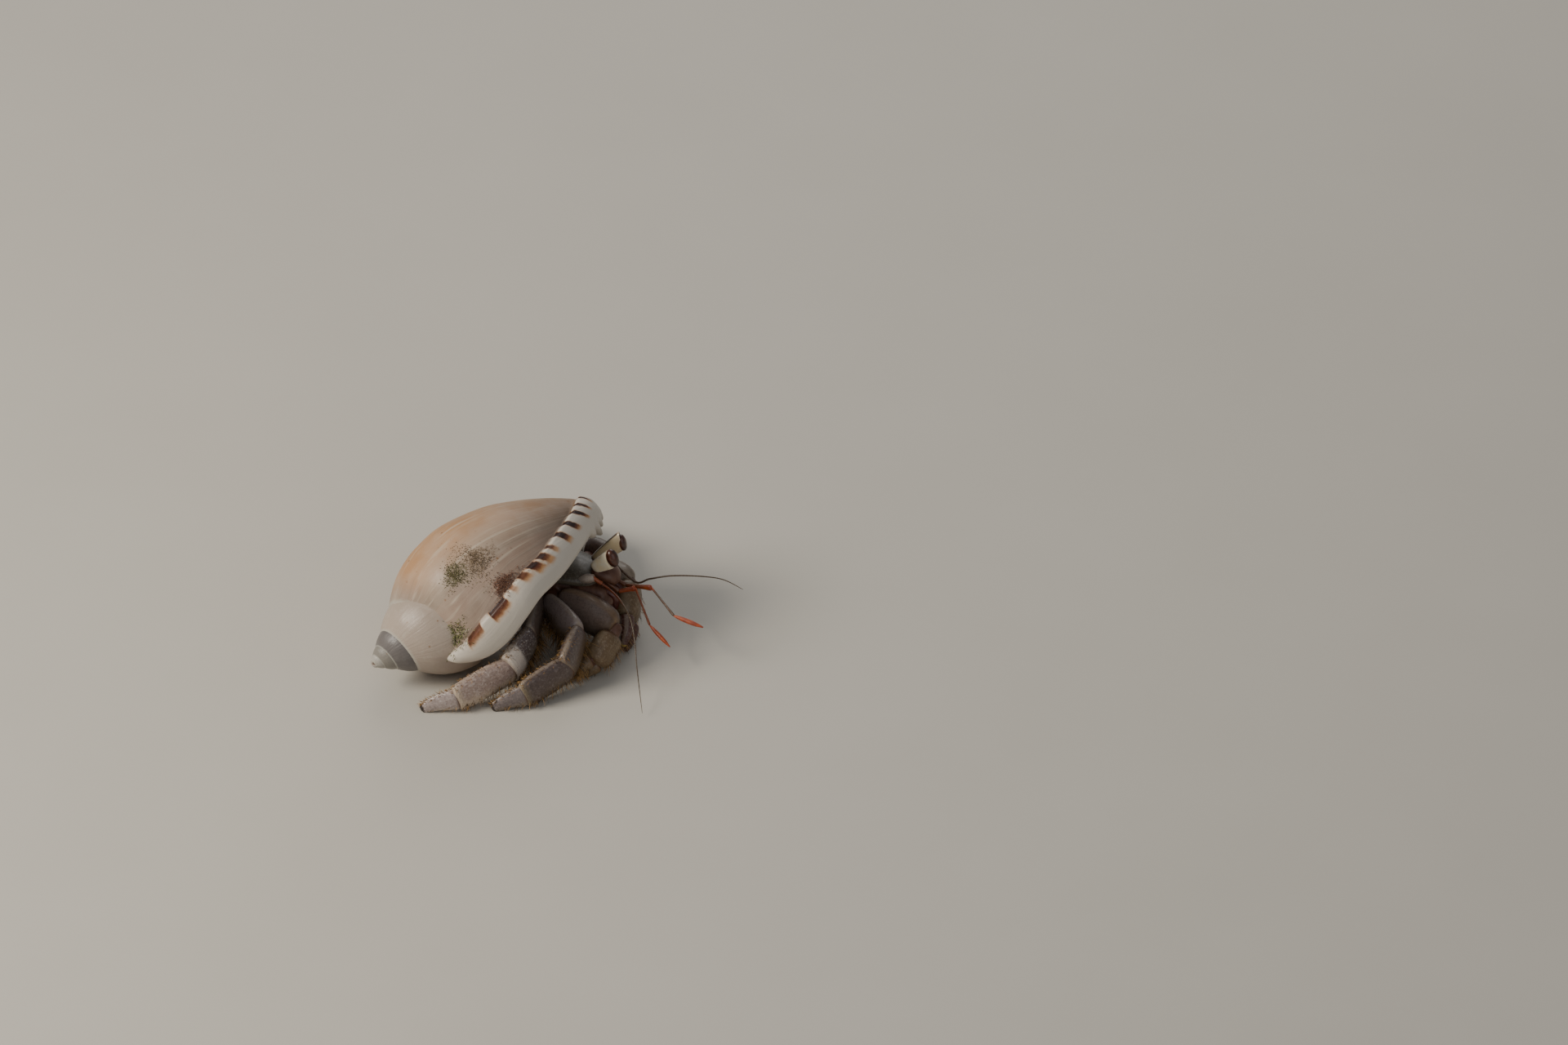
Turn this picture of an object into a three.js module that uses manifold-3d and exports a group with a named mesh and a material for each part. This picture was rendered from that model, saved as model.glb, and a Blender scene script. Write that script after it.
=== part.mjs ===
// Land hermit crab carrying a bonnet shell: a still, life-size model.
// Millimetres. The crab faces +X, its left side is +Y, up is +Z, and it stands on the plane z = 0.
import * as THREE from 'three';
import { mergeVertices } from 'three/addons/utils/BufferGeometryUtils.js';
import Module from 'manifold-3d';

const wasm = await Module();
wasm.setup();

// ---------------------------------------------------------------- driving dimensions

const GAP = 0.25; // clearance that neighbouring hard pieces keep
const SLIVER = 0.02; // cuts leave no edge shorter than about this

// The shell is a right-handed spiral about an axis that runs from the apex to the front end.
const SHELL_LENGTH = 41;
const SHELL_APEX = [-26.7, -24.4, 4.4];
const SHELL_HEADING = 49.6; // degrees from +X towards +Y
const SHELL_PITCH = 17; // degrees that the axis climbs towards its front end
const SHELL_ROLL = 3; // degrees that the outer lip is turned up from level
const WHORL_RATIO = 1.75; // growth in one whole turn
const WHORL_TURNS = 5;
const SHELL_WALL = 1.2;
const LIP_RAISE = 1.05; // how far the lip's thick band stands out from the whorl
const LIP_WIDTHS = [0.3, 2.0, 4.4, 5.6, 5.5, 5.6, 5.9, 6.1, 6.6, 7.0, 7.0]; // at even places along it
const LIP_REACH = 90; // degrees behind the lip within which the band lies
const LIP_STEP = 0.9; // length over which the band rises at its back edge
const LIP_NOSE = 1.6; // length over which its front edge rounds over
const COLUMELLA = [1.9, 1.3]; // pillar radius, inside and at the front end
const LIP_TEETH = 4;
const LIP_NARROWING = 0.07; // how far growth slows towards the lip
const FRONT_NARROWING = 0.55; // the same, at the lip's front end
const LIP_LEAN = 16; // degrees that the lip's ends lean forward at the back and back at the front
const SUTURE_SLIDE = 0.045; // shell lengths that the suture slides forward just behind the lip

// Outline of the last whorl at the lip: radius and place along the axis, in shell lengths.
const WHORL_OUTLINE = [
  [0.15, 0.215], [0.19, 0.248], [0.252, 0.318], [0.292, 0.39], [0.318, 0.47], [0.327, 0.56],
  [0.29, 0.7], [0.236, 0.8], [0.182, 0.88], [0.134, 0.94], [0.092, 0.98], [0.03, 1.0],
];
const WIDEST = 0.45; // place along the axis where the last whorl is widest

// Half width and half thickness of each segment of a walking leg at its two ends.
const LEG_SHAPE = {
  merus: { wide: [2.8, 3.0], thick: [1.3, 1.3] },
  carpus: { wide: [2.6, 3.1], thick: [1.2, 1.3] },
  propodus: { wide: [2.6, 2.3], thick: [1.2, 0.95] },
  dactyl: { wide: [1.9, 0.8], thick: [0.9, 0.45] },
};
const LEG_PARTS = ['merus', 'carpus', 'propodus', 'dactyl'];

// Each walking leg by its joints: hip, knee, wrist, ankle and tip.
const WALKING_LEGS = {
  leg2_right: [
    [-5.7, -6.0, 7.2], [0.8, -11.7, 6.8], [0.5, -16.3, 4.2], [-4.3, -21.8, 2.1], [-8.4, -23.7, 0.4],
  ],
  leg3_right: [
    [-7.3, -4.8, 7.2], [-5.8, -14.2, 6.6], [-7.1, -19.4, 4.5], [-13.3, -25.4, 2.1], [-18.1, -26.9, 0.5],
  ],
  leg2_left: [
    [-5.2, 4.6, 7.4], [-6.2, 11.6, 6.6], [-7.6, 16.2, 4.2], [-11.6, 20.6, 1.9], [-16.4, 22.4, 0.5],
  ],
  leg3_left: [
    [-7.6, 4.0, 6.8], [-10.2, 10.6, 5.8], [-13.2, 14.4, 3.9], [-18.6, 17.4, 1.9], [-23.6, 18.0, 0.5],
  ],
};

const CAVITY_START = -270; // degrees of growth where the hollow begins
const ABDOMEN_START = -16; // degrees of growth where the soft abdomen meets the thorax

const SHIELD = {
  path: [[-9.4, 0, 10.2], [-4.5, 0, 10.2], [0.6, 0, 9.7]], wide: [1.1, 1.0], thick: [4.2, 3.2],
  blunt: 0.4, sides: 9, rings: 5,
};
const THORAX = {
  path: [[-11, 0.3, 10.0], [-5, 0, 8.4], [-0.4, 0, 7.8]], wide: [2.4, 2.2], thick: [3.6, 3.2], blunt: 0.45,
};
// Each eye is a flat stalk whose slanted end carries the cornea.
const EYES = {
  right: {
    cornea: { path: [[3.43, -2.09, 13.3], [2.47, -1.81, 15.7]], wide: [0.62, 0.62] },
    stalk: [[-0.5, -0.95, 11.2], [2.75, -1.9, 14.3]],
  },
  left: {
    cornea: { path: [[3.5, 2.07, 13.3], [2.92, 1.93, 15.9]], wide: [0.45, 0.45] },
    stalk: [[-0.7, 0.9, 11.4], [2.84, 1.92, 14.75]],
  },
};
// The left claw is the larger one and is carried further out, on a shoulder of its own.
const LEFT_SHOULDER = {
  path: [[-2.6, 2.2, 7.6], [-3.2, 6.6, 7.8]], wide: [1.7, 1.7], thick: [1.5, 1.5], sides: 6, rings: 2,
};
const CORNEA_SHAPE = { thick: [0.75, 0.75], blunt: 0.6 };
const EYESTALK_SHAPE = { wide: [0.95, 1.45], thick: [0.55, 0.72], blunt: 0.3 };
const ANTENNULES = {
  right: {
    base: [[0.9, -0.75, 9.9], [3.6, -0.9, 8.1]], bend: [6.0, -0.4, 8.8], end: [9.5, -4.8, 6.0],
    flagellum: [13.1, -6.5, 4.0],
  },
  left: {
    base: [[0.9, 0.75, 9.9], [4.2, 0.6, 8.3]], bend: [8.3, 0.1, 9.0], end: [12.8, -3.6, 7.5],
    flagellum: [17.4, -4.2, 6.8],
  },
};
const ANTENNA_BASE = { path: [[-1.6, 2.9, 10.3], [1.4, 2.9, 10.5]], wide: [0.7, 0.6], thick: [0.6, 0.5] };
const ANTENNAE = {
  right: [
    [1.5, -2.9, 10.5], [2.9, -3.2, 9.9], [5.2, -5.0, 9.5], [7.5, -7.6, 8.5],
    [8.8, -9.8, 6.5], [10.0, -12.6, 4.0], [12.8, -19.0, 0.8],
  ],
  left: [
    [1.5, 2.9, 10.4], [5.2, 2.1, 8.1], [7.4, 2.2, 9.0], [10.6, 2.5, 10.0],
    [14.7, 3.6, 10.0], [17.7, 4.8, 9.2], [20.6, 4.9, 8.0],
  ],
};
const CHELIPEDS = {
  right: {
    merus: { path: [[-2.8, -3.2, 6.6], [-1.2, -4.6, 6.8]], wide: [1.6, 1.9], thick: [1.5, 1.8] },
    carpus: { path: [[-1.9, -4.7, 7.3], [4.9, -6.9, 5.9]], wide: [2.5, 2.7], thick: [2.0, 2.3], rings: 6 },
    claw: {
      palm: { path: [[4.8, -7.5, 5.4], [3.2, -11.2, 2.1]], wide: [2.6, 2.5], thick: [1.7, 1.8], rings: 6 },
      fixed: {
        path: [[3.6, -10.6, 1.9], [1.4, -12.0, 0.8], [-0.6, -12.6, 0.2]],
        wide: [1.3, 0.45], thick: [1.3, 0.4],
      },
    },
    finger: {
      path: [[3.0, -11.9, 3.2], [0.9, -13.2, 2.2], [-0.6, -13.6, 0.9]], wide: [1.2, 0.45], thick: [1.1, 0.4],
    },
  },
  left: {
    merus: { path: [[-4.0, 7.9, 8.4], [0.3, 6.5, 7.8]], wide: [2.4, 2.5], thick: [1.5, 1.8] },
    carpus: { path: [[-0.2, 5.5, 6.6], [3.6, 3.7, 6.1]], wide: [2.4, 2.5], thick: [2.2, 2.3], rings: 6 },
    claw: {
      palm: { path: [[3.9, 4.2, 6.2], [5.0, -1.0, 2.9]], wide: [2.8, 2.9], thick: [2.1, 2.2], rings: 6 },
      fixed: {
        path: [[5.2, -0.6, 2.2], [5.6, -2.6, 1.1], [5.4, -4.2, 0.15]], wide: [1.6, 0.5], thick: [1.5, 0.45],
      },
    },
    finger: {
      path: [[5.0, -1.6, 4.4], [5.6, -3.6, 3.2], [5.5, -4.9, 1.4]], wide: [1.4, 0.5], thick: [1.3, 0.45],
    },
  },
};
const MAXILLIPED = {
  path: [[0.2, 1.3, 8.4], [2.9, 1.3, 7.2], [3.2, 1.0, 4.6]], wide: [0.8, 0.5], thick: [0.7, 0.5],
};
const LEG4 = { path: [[-7.6, 3.6, 9.4], [-9.2, 4.6, 8.6]], wide: [0.9, 0.7], thick: [0.8, 0.6] };

// ---------------------------------------------------------------- solids from meshes

function solid(geometry) {
  const bare = geometry.clone();
  bare.deleteAttribute('normal');
  bare.deleteAttribute('uv');
  const merged = mergeVertices(bare, 1e-5);
  const mesh = new wasm.Mesh({
    numProp: 3,
    vertProperties: new Float32Array(merged.attributes.position.array),
    triVerts: new Uint32Array(merged.index.array),
  });
  mesh.merge();
  return new wasm.Manifold(mesh);
}

function geometryOf(body) {
  const mesh = body.getMesh();
  const geometry = new THREE.BufferGeometry();
  geometry.setAttribute('position', new THREE.BufferAttribute(new Float32Array(mesh.vertProperties), 3));
  geometry.setIndex(new THREE.BufferAttribute(new Uint32Array(mesh.triVerts), 1));
  geometry.computeVertexNormals();
  return geometry;
}

function union(bodies) {
  return bodies.reduce((sum, body) => sum.add(body));
}

// A closed mesh through rings of equal count, each a list of Vector3, closed at both ends by the
// triangles `cap` or, without it, by a fan round the middle of the end ring.
function loft(rings, cap) {
  const count = rings[0].length;
  const points = rings.flat();
  const faces = [];
  for (let i = 0; i + 1 < rings.length; i += 1) {
    for (let j = 0; j < count; j += 1) {
      const next = (j + 1) % count;
      const [a, b] = [i * count + j, i * count + next];
      faces.push([a, b, b + count], [a, b + count, a + count]);
    }
  }
  const last = (rings.length - 1) * count;
  if (cap) {
    cap.forEach(([a, b, c]) => faces.push([a, c, b], [last + a, last + b, last + c]));
  } else {
    [rings[0], rings[rings.length - 1]].forEach((ring, end) => {
      const middle = ring.reduce((sum, p) => sum.add(p), new THREE.Vector3()).divideScalar(count);
      points.push(middle);
      for (let j = 0; j < count; j += 1) {
        const [a, b] = [end * last + j, end * last + ((j + 1) % count)];
        faces.push(end ? [a, b, points.length - 1] : [b, a, points.length - 1]);
      }
    });
  }
  const geometry = new THREE.BufferGeometry();
  const flat = new Float32Array(points.flatMap((p) => p.toArray()));
  geometry.setAttribute('position', new THREE.BufferAttribute(flat, 3));
  geometry.setIndex(faces.flat());
  return geometry;
}

function outward(geometry) {
  const body = solid(geometry);
  if (body.volume() > 0) return body;
  const index = Array.from(geometry.index.array);
  for (let i = 0; i < index.length; i += 3) [index[i], index[i + 1]] = [index[i + 1], index[i]];
  geometry.setIndex(index);
  return solid(geometry);
}

const vector = (p) => new THREE.Vector3(...p);
const mix = (a, b, t) => a + (b - a) * t;
const smooth = (a, b, x) => THREE.MathUtils.smoothstep(x, a, b);

// A rounded bar that follows `path` (two points or more). `wide` and `thick` are its half sizes at
// the start and the end; it is wide in the plane of `path` and `stand`, and thick across that plane.
function bar({ path, wide, thick, stand = [0, 0, 1], blunt = 0.4, sides = 8, rings = 5 }, grow = 0) {
  const points = path.map(vector);
  const curve = points.length > 2 ? new THREE.CatmullRomCurve3(points) : new THREE.LineCurve3(...points);
  const reach = grow / curve.getLength();
  const loops = [];
  for (let i = 0; i <= rings; i += 1) {
    const angle = mix(0.06, 0.94, i / rings) * Math.PI;
    const t = (1 - Math.cos(angle)) / 2;
    const along = curve.getTangentAt(t);
    const across = along.clone().cross(vector(stand)).normalize();
    const rise = across.clone().cross(along).normalize();
    const middle = curve.getPointAt(t).addScaledVector(along, (2 * t - 1) * reach * curve.getLength());
    const round = Math.sin(angle) ** blunt;
    const half = [wide, thick].map((size) => mix(size[0], size[1], t) * round + grow);
    const loop = [];
    for (let j = 0; j < sides; j += 1) {
      const turn = (2 * Math.PI * (j + 0.5)) / sides;
      loop.push(middle.clone()
        .addScaledVector(rise, Math.cos(turn) * half[0])
        .addScaledVector(across, Math.sin(turn) * half[1]));
    }
    loops.push(loop);
  }
  return outward(loft(loops));
}

// ---------------------------------------------------------------- shell

const radians = THREE.MathUtils.degToRad;
const [heading, pitch] = [radians(SHELL_HEADING), radians(SHELL_PITCH)];
const level = new THREE.Vector3(Math.sin(heading), -Math.cos(heading), 0);
const axis = new THREE.Vector3(Math.cos(heading), Math.sin(heading), 0).applyAxisAngle(level, pitch);
const lipward = level.clone().applyAxisAngle(axis, radians(-SHELL_ROLL));
const growthward = axis.clone().cross(lipward);
const outline = new THREE.SplineCurve(WHORL_OUTLINE.map(([r, s]) => new THREE.Vector2(r, s)));
const lipWidths = new THREE.SplineCurve(LIP_WIDTHS.map((width) => new THREE.Vector2(width, 0)));

// A point of the shell: turn in degrees of growth (0 at the lip, negative before it), radius from
// the axis and place along it in mm.
function shellPoint(turn, radius, along) {
  return vector(SHELL_APEX)
    .addScaledVector(axis, along)
    .addScaledVector(lipward, radius * Math.cos(radians(turn)))
    .addScaledVector(growthward, radius * Math.sin(radians(turn)));
}

// How far the lip's band stands out at a place along it, by the length behind the lip's front edge.
function lipRaise(place, behind) {
  const width = lipWidths.getPoint(place).x;
  const rise = 1 - smooth(width - LIP_STEP / 2, width + LIP_STEP / 2, behind);
  const dome = 1 - 0.45 * ((behind - 0.55 * width) / (0.55 * width)) ** 2;
  return LIP_RAISE * rise * THREE.MathUtils.clamp(dome, 0.2, 1) * mix(0.5, 1, smooth(0, LIP_NOSE, behind));
}

// How many degrees a point of the outline leads or trails its section, which slants the lip.
function lean(turn, place) {
  return LIP_LEAN * smooth(-80, 0, turn) * (1 - 2 * smooth(0.25, 0.62, place));
}

// The whorl's outline at a turn, from its suture (0) to its front end (1), as points
// [radius, along, lean], moved outward by `offset` and, with `lip`, by the band along the lip.
function whorlOutline(turn, offset, { from = 0, to = 1, steps = 12, lip = false } = {}) {
  const scale = WHORL_RATIO ** (turn / 360);
  const reach = smooth(-310, -180, turn); // how far the last whorl draws out to the front end
  const frontEnd = mix(scale, 1 + 0.05 * (turn / 360), reach);
  const slowing = smooth(-130, 0, turn);
  const slide = SUTURE_SLIDE * smooth(-115, -50, turn) * (1 - smooth(-35, -5, turn));
  const place = (u) => {
    const p = outline.getPoint(u);
    const forward = Math.max(0, (p.y - WIDEST) / (1 - WIDEST));
    const narrowing = 1 - slowing * (LIP_NARROWING + FRONT_NARROWING * forward ** 3);
    const fuller = (scale + reach * 0.5 * (1 - scale) * forward) * narrowing;
    const along = p.y * scale + forward * (frontEnd - scale) + slide * (1 - smooth(0.21, 0.4, p.y));
    return [p.x * fuller * SHELL_LENGTH, along * SHELL_LENGTH, lean(turn, p.y)];
  };
  const points = [];
  for (let i = 0; i <= steps; i += 1) {
    const u = mix(from, to, i / steps);
    const [before, here, after] = [place(Math.max(0, u - 0.01)), place(u), place(Math.min(1, u + 0.01))];
    const [dr, ds] = [after[0] - before[0], after[1] - before[1]];
    const move = (offset + (lip ? lipRaise(u, -radians(turn) * here[0]) : 0)) / Math.hypot(dr, ds);
    points.push([here[0] + move * ds, here[1] - move * dr, here[2]]);
  }
  return points;
}

// A solid of flat sections about the axis, made in quarter turns that are joined.
function sweep(start, end, step, sectionAt) {
  const parts = [];
  for (let from = start; from < end - 1e-6; from += 90) {
    const to = Math.min(end, from + 90);
    const count = Math.ceil((to - from) / step);
    const turns = Array.from({ length: count + 1 }, (_, i) => mix(from, to, i / count));
    const sections = turns.map(sectionAt);
    const first = sections[0].map(([r, s]) => new THREE.Vector2(r, s));
    const cap = THREE.ShapeUtils.triangulateShape(first, []);
    parts.push(outward(loft(turns.map((turn, i) => (
      sections[i].map(([r, s, slant]) => shellPoint(turn + slant, r, s)))), cap)));
  }
  return union(parts);
}

function whorls(start, end, step, offset) {
  return sweep(start, end, step, (turn) => {
    const ring = whorlOutline(turn, offset, { lip: turn > -LIP_REACH });
    const [first, last] = [ring[0], ring[ring.length - 1]];
    const inner = 0.006 * SHELL_LENGTH * WHORL_RATIO ** (turn / 360); // inside the pillar
    return [...ring, [inner, last[1], last[2]], [inner, first[1], first[2]]];
  });
}

function cavity(start, end, step, wall, steps) {
  return sweep(start, end, step, (turn) => {
    const ring = whorlOutline(turn, -wall, { from: 0.1, to: 0.915, steps });
    const [first, last] = [ring[0], ring[ring.length - 1]];
    return [...ring, [0.3, last[1], last[2]], [0.3, first[1], first[2]]];
  });
}

function columella(grow) {
  const [inside, front] = COLUMELLA;
  const profile = [
    [0.012, 0], [0.012, 0.25], [0.06, 0.8], [0.3, inside], [0.86, front], [0.975, 0.9], [0.975, 0],
  ];
  const lathe = new THREE.LatheGeometry(
    profile.map(([s, r]) => new THREE.Vector2(r ? r + grow : 0, s * SHELL_LENGTH)), 10);
  const frame = new THREE.Matrix4().makeBasis(lipward, axis, lipward.clone().cross(axis));
  return outward(lathe.applyMatrix4(frame.setPosition(vector(SHELL_APEX))));
}

function lipTooth(index) {
  const spots = whorlOutline(0, 0.2, { from: 0.76, to: 0.95, steps: LIP_TEETH - 1 });
  const [radius, along, slant] = spots[index];
  const aim = new THREE.Quaternion().setFromUnitVectors(
    new THREE.Vector3(0, 1, 0), growthward.clone().add(lipward).normalize());
  const cone = new THREE.ConeGeometry(0.45, 1.3, 6).applyQuaternion(aim);
  return solid(cone.translate(...shellPoint(slant - 2, radius - 0.4, along).toArray()));
}

// The whorls before the hollow, with the pillar.
function spire(grow) {
  const tip = new THREE.SphereGeometry(0.85 + grow, 8, 6).translate(...shellPoint(0, 0, 0.8).toArray());
  return union([
    whorls(-360 * WHORL_TURNS, -720, 36, grow),
    whorls(-720, CAVITY_START, 22.5, grow),
    columella(grow),
    solid(tip),
  ]);
}

function shell(grow = 0) {
  const teeth = Array.from({ length: LIP_TEETH }, (_, i) => lipTooth(i));
  return whorls(CAVITY_START, -LIP_REACH, 15, grow)
    .add(whorls(-LIP_REACH, grow ? 2 : 0, 7.5, grow))
    .subtract(cavity(CAVITY_START + 2, 10, 22.5, SHELL_WALL + grow, 9))
    .add(union([spire(grow), ...teeth]));
}

// ---------------------------------------------------------------- crab

const right = ([x, y, z]) => [x, -y, z];

function straightBars(points, size, grow) {
  const form = { wide: [size, size], thick: [size, size], blunt: 0.25, sides: 6, rings: 3 };
  return union(points.slice(1).map((to, i) => bar({ ...form, path: [points[i], to] }, grow)));
}

function feeler(points, sizes, rings, grow) {
  return bar({ path: points, wide: sizes, thick: sizes, blunt: 0.2, sides: 6, rings }, grow);
}

function thorax(grow) {
  const trunk = bar(THORAX, grow);
  const shoulder = bar(LEFT_SHOULDER, grow);
  const coxae = Object.values(WALKING_LEGS).map(([hip]) => {
    const inner = [hip[0] + 0.4, hip[1] * 0.35, hip[2]];
    const outer = [hip[0], hip[1] * 0.96, hip[2]];
    return bar({ path: [inner, outer], wide: [1.5, 1.35], thick: [1.3, 1.15], sides: 6, rings: 2 }, grow);
  });
  return union([trunk, shoulder, ...coxae]);
}

function claw({ palm, fixed }, grow) {
  return union([bar(palm, grow), bar(fixed, grow)]);
}

// Name, colour and maker of each piece. A piece is cut clear of every piece before it.
const makers = [['shell', 'ivory', shell]];
const add = (name, finish, maker) => makers.push([name, finish, maker]);

for (const side of ['right', 'left']) {
  const turned = side === 'right' ? right : (p) => p;
  const { base, bend, end, flagellum } = ANTENNULES[side];
  const { cornea, stalk } = EYES[side];
  add(`cornea_${side}`, 'eye', (g) => bar({ ...CORNEA_SHAPE, ...cornea }, g));
  add(`antennule_${side}_flagellum`, 'orange', (g) => feeler([end, flagellum], [0.34, 0.28], 5, g));
  add(`antennule_${side}`, 'orange', (g) => straightBars([...base, bend, end], 0.28, g));
  add(`antenna_${side}_flagellum`, 'olive', (g) => feeler(ANTENNAE[side], [0.3, 0.26], 11, g));
  add(`antenna_${side}`, 'cream', (g) => bar({ ...ANTENNA_BASE, path: ANTENNA_BASE.path.map(turned) }, g));
  add(`eyestalk_${side}`, 'cream', (g) => bar({ ...EYESTALK_SHAPE, path: stalk }, g));
}
add('shield', 'mottled', (g) => bar(SHIELD, g));
for (const side of ['right', 'left']) {
  const { finger, claw: hand, carpus, merus } = CHELIPEDS[side];
  add(`cheliped_${side}_finger`, 'beige', (g) => bar(finger, g));
  add(`cheliped_${side}_palm`, 'beige', (g) => claw(hand, g));
  add(`cheliped_${side}_carpus`, 'lilac', (g) => bar(carpus, g));
  add(`cheliped_${side}_merus`, 'lilac', (g) => bar(merus, g));
}
for (const [leg, joints] of Object.entries(WALKING_LEGS)) {
  for (let i = LEG_PARTS.length - 1; i >= 0; i -= 1) {
    const path = [joints[i], joints[i + 1]];
    add(`${leg}_${LEG_PARTS[i]}`, 'lilac', (g) => bar({ path, ...LEG_SHAPE[LEG_PARTS[i]] }, g));
  }
}
for (const side of ['right', 'left']) {
  const turned = side === 'right' ? right : (p) => p;
  add(`maxilliped_${side}`, 'russet', (g) => bar({ ...MAXILLIPED, path: MAXILLIPED.path.map(turned) }, g));
  add(`leg4_${side}`, 'lilac', (g) => bar({ ...LEG4, path: LEG4.path.map(turned) }, g));
}
add('thorax', 'russet', thorax);
add('abdomen', 'russet', () => (
  cavity(CAVITY_START + 6, ABDOMEN_START, 30, SHELL_WALL + 1.4 * GAP, 7).subtract(spire(GAP))));

const COLOURS = {
  ivory: [0xe8ded2, 0.25], eye: [0x3a1c12, 0.1], orange: [0xc8541e, 0.4], olive: [0x7d6f48, 0.5],
  cream: [0xe6dcc2, 0.4], mottled: [0x857c6e, 0.6], beige: [0xb9a183, 0.55], lilac: [0x8d8390, 0.55],
  russet: [0x6b2f22, 0.5],
};

// Everything that stands on the floor is cut off level with it, which leaves the small flats.
const below = solid(new THREE.BoxGeometry(200, 200, 20).translate(0, 0, -10));

function touches(a, b) {
  return [0, 1, 2].every((i) => a.min[i] < b.max[i] && b.min[i] < a.max[i]);
}

function largest(body) {
  return body.decompose().reduce((best, piece) => (piece.volume() > best.volume() ? piece : best));
}

const done = [];
const model = new THREE.Group();
for (const [name, finish, maker] of makers) {
  let body = maker(0).subtract(below);
  for (const other of done) {
    const clear = name === 'abdomen' && other.name === 'shell';
    if (!clear && touches(body.boundingBox(), other.box)) body = body.subtract(other.grown);
  }
  body = largest(body.simplify(SLIVER));
  const grown = name === 'abdomen' ? body : maker(GAP);
  done.push({ name, grown, box: grown.boundingBox() });
  const [color, roughness] = COLOURS[finish];
  const mesh = new THREE.Mesh(geometryOf(body), new THREE.MeshStandardMaterial({ color, roughness }));
  mesh.name = name;
  model.add(mesh);
}

// The origin is the middle of the footprint, on the floor.
const box = new THREE.Box3().setFromObject(model);
const middle = box.getCenter(new THREE.Vector3());
model.position.set(-middle.x, -middle.y, -box.min.z);

export default model;
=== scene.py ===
"""A land hermit crab in a bonnet shell: a still, life-size model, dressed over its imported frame.

Lengths are millimetres from the crab's own origin, the floor point under the middle of the bases of
its eyes, with the crab facing +X and its left side +Y. on_frame() turns them into the frame's metres.
"""
import math

import bpy
import numpy as np
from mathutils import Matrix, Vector


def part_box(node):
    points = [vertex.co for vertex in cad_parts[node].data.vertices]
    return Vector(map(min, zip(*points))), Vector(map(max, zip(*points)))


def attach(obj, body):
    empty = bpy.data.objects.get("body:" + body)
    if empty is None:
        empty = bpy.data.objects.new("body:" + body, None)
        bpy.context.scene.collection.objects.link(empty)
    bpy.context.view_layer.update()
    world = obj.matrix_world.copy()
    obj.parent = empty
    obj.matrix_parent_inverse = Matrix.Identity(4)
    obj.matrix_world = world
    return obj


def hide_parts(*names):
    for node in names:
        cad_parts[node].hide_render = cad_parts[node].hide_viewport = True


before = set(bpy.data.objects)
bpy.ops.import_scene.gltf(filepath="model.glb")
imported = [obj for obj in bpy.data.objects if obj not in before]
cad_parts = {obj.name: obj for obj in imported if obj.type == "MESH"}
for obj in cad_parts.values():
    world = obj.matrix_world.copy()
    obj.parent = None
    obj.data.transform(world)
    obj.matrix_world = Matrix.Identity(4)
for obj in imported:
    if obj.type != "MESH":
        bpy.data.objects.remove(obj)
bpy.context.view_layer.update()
random = np.random.default_rng(7)

# ------------------------------------------------------------------ places and small sums

MM = 0.001
CORNEA = (2.95, -1.95)  # from the crab's origin to the middle of its right cornea

eye_low, eye_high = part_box("cornea_right")
ORIGIN = np.array([
    (low + high) / 2 - away * MM for low, high, away in zip(eye_low, eye_high, CORNEA)] + [0.0])


def on_frame(points):
    return np.asarray(points, float) * MM + ORIGIN


def smooth(start, end, value):
    t = np.clip((value - start) / (end - start), 0, 1)
    return t * t * (3 - 2 * t)


def mix(a, b, t):
    return a + (b - a) * t


def unit(vectors):
    vectors = np.asarray(vectors, float)
    return vectors / np.maximum(np.linalg.norm(vectors, axis=-1, keepdims=True), 1e-12)


def turned(vector, about, degrees):
    """A vector turned about a unit vector."""
    angle = math.radians(degrees)
    along = about * np.dot(about, vector) * (1 - math.cos(angle))
    return vector * math.cos(angle) + np.cross(about, vector) * math.sin(angle) + along


def spline(knots, t):
    """Points at t (0 to 1) on the smooth line through evenly counted knots."""
    knots = np.asarray(knots, float)
    last = len(knots) - 1
    spot = np.clip(np.asarray(t, float), 0, 1) * last
    i = np.minimum(np.floor(spot).astype(int), last - 1)
    w = (spot - i)[..., None]
    before, here = knots[np.maximum(i - 1, 0)], knots[i]
    there, after = knots[i + 1], knots[np.minimum(i + 2, last)]
    leave, arrive = (there - before) / 2, (after - here) / 2
    bend = (2 * here - 2 * there + leave + arrive) * w**3
    bow = (3 * there - 3 * here - 2 * leave - arrive) * w**2
    return bend + bow + leave * w + here


def cells(u, v, columns, seed):
    """Cell pattern on a plane, v wrapping after whole columns: closeness to a cell's middle, and a
    number from 0 to 1 of its own."""
    i, j = np.floor(u).astype(int), np.floor(v).astype(int)
    near = np.full(u.shape, 9.0)
    own = np.zeros(u.shape)
    for di in (-1, 0, 1):
        for dj in (-1, 0, 1):
            a, b = i + di, j + dj
            wrapped = np.mod(b, columns)
            mark = np.sin(a * 127.1 + wrapped * 311.7 + seed * 74.7) * 43758.5
            mark -= np.floor(mark)
            other = np.sin(a * 269.5 + wrapped * 183.3 + seed * 41.3) * 43758.5
            other -= np.floor(other)
            far = np.hypot(a + 0.2 + 0.6 * mark - u, b + 0.2 + 0.6 * other - v)
            own = np.where(far < near, mark, own)
            near = np.minimum(near, far)
    return np.clip(1 - near / 0.75, 0, 1), own


# ------------------------------------------------------------------ meshes

def deselect():
    for obj in bpy.context.selected_objects:
        obj.select_set(False)


def activate(obj):
    deselect()
    obj.select_set(True)
    bpy.context.view_layer.objects.active = obj


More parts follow.
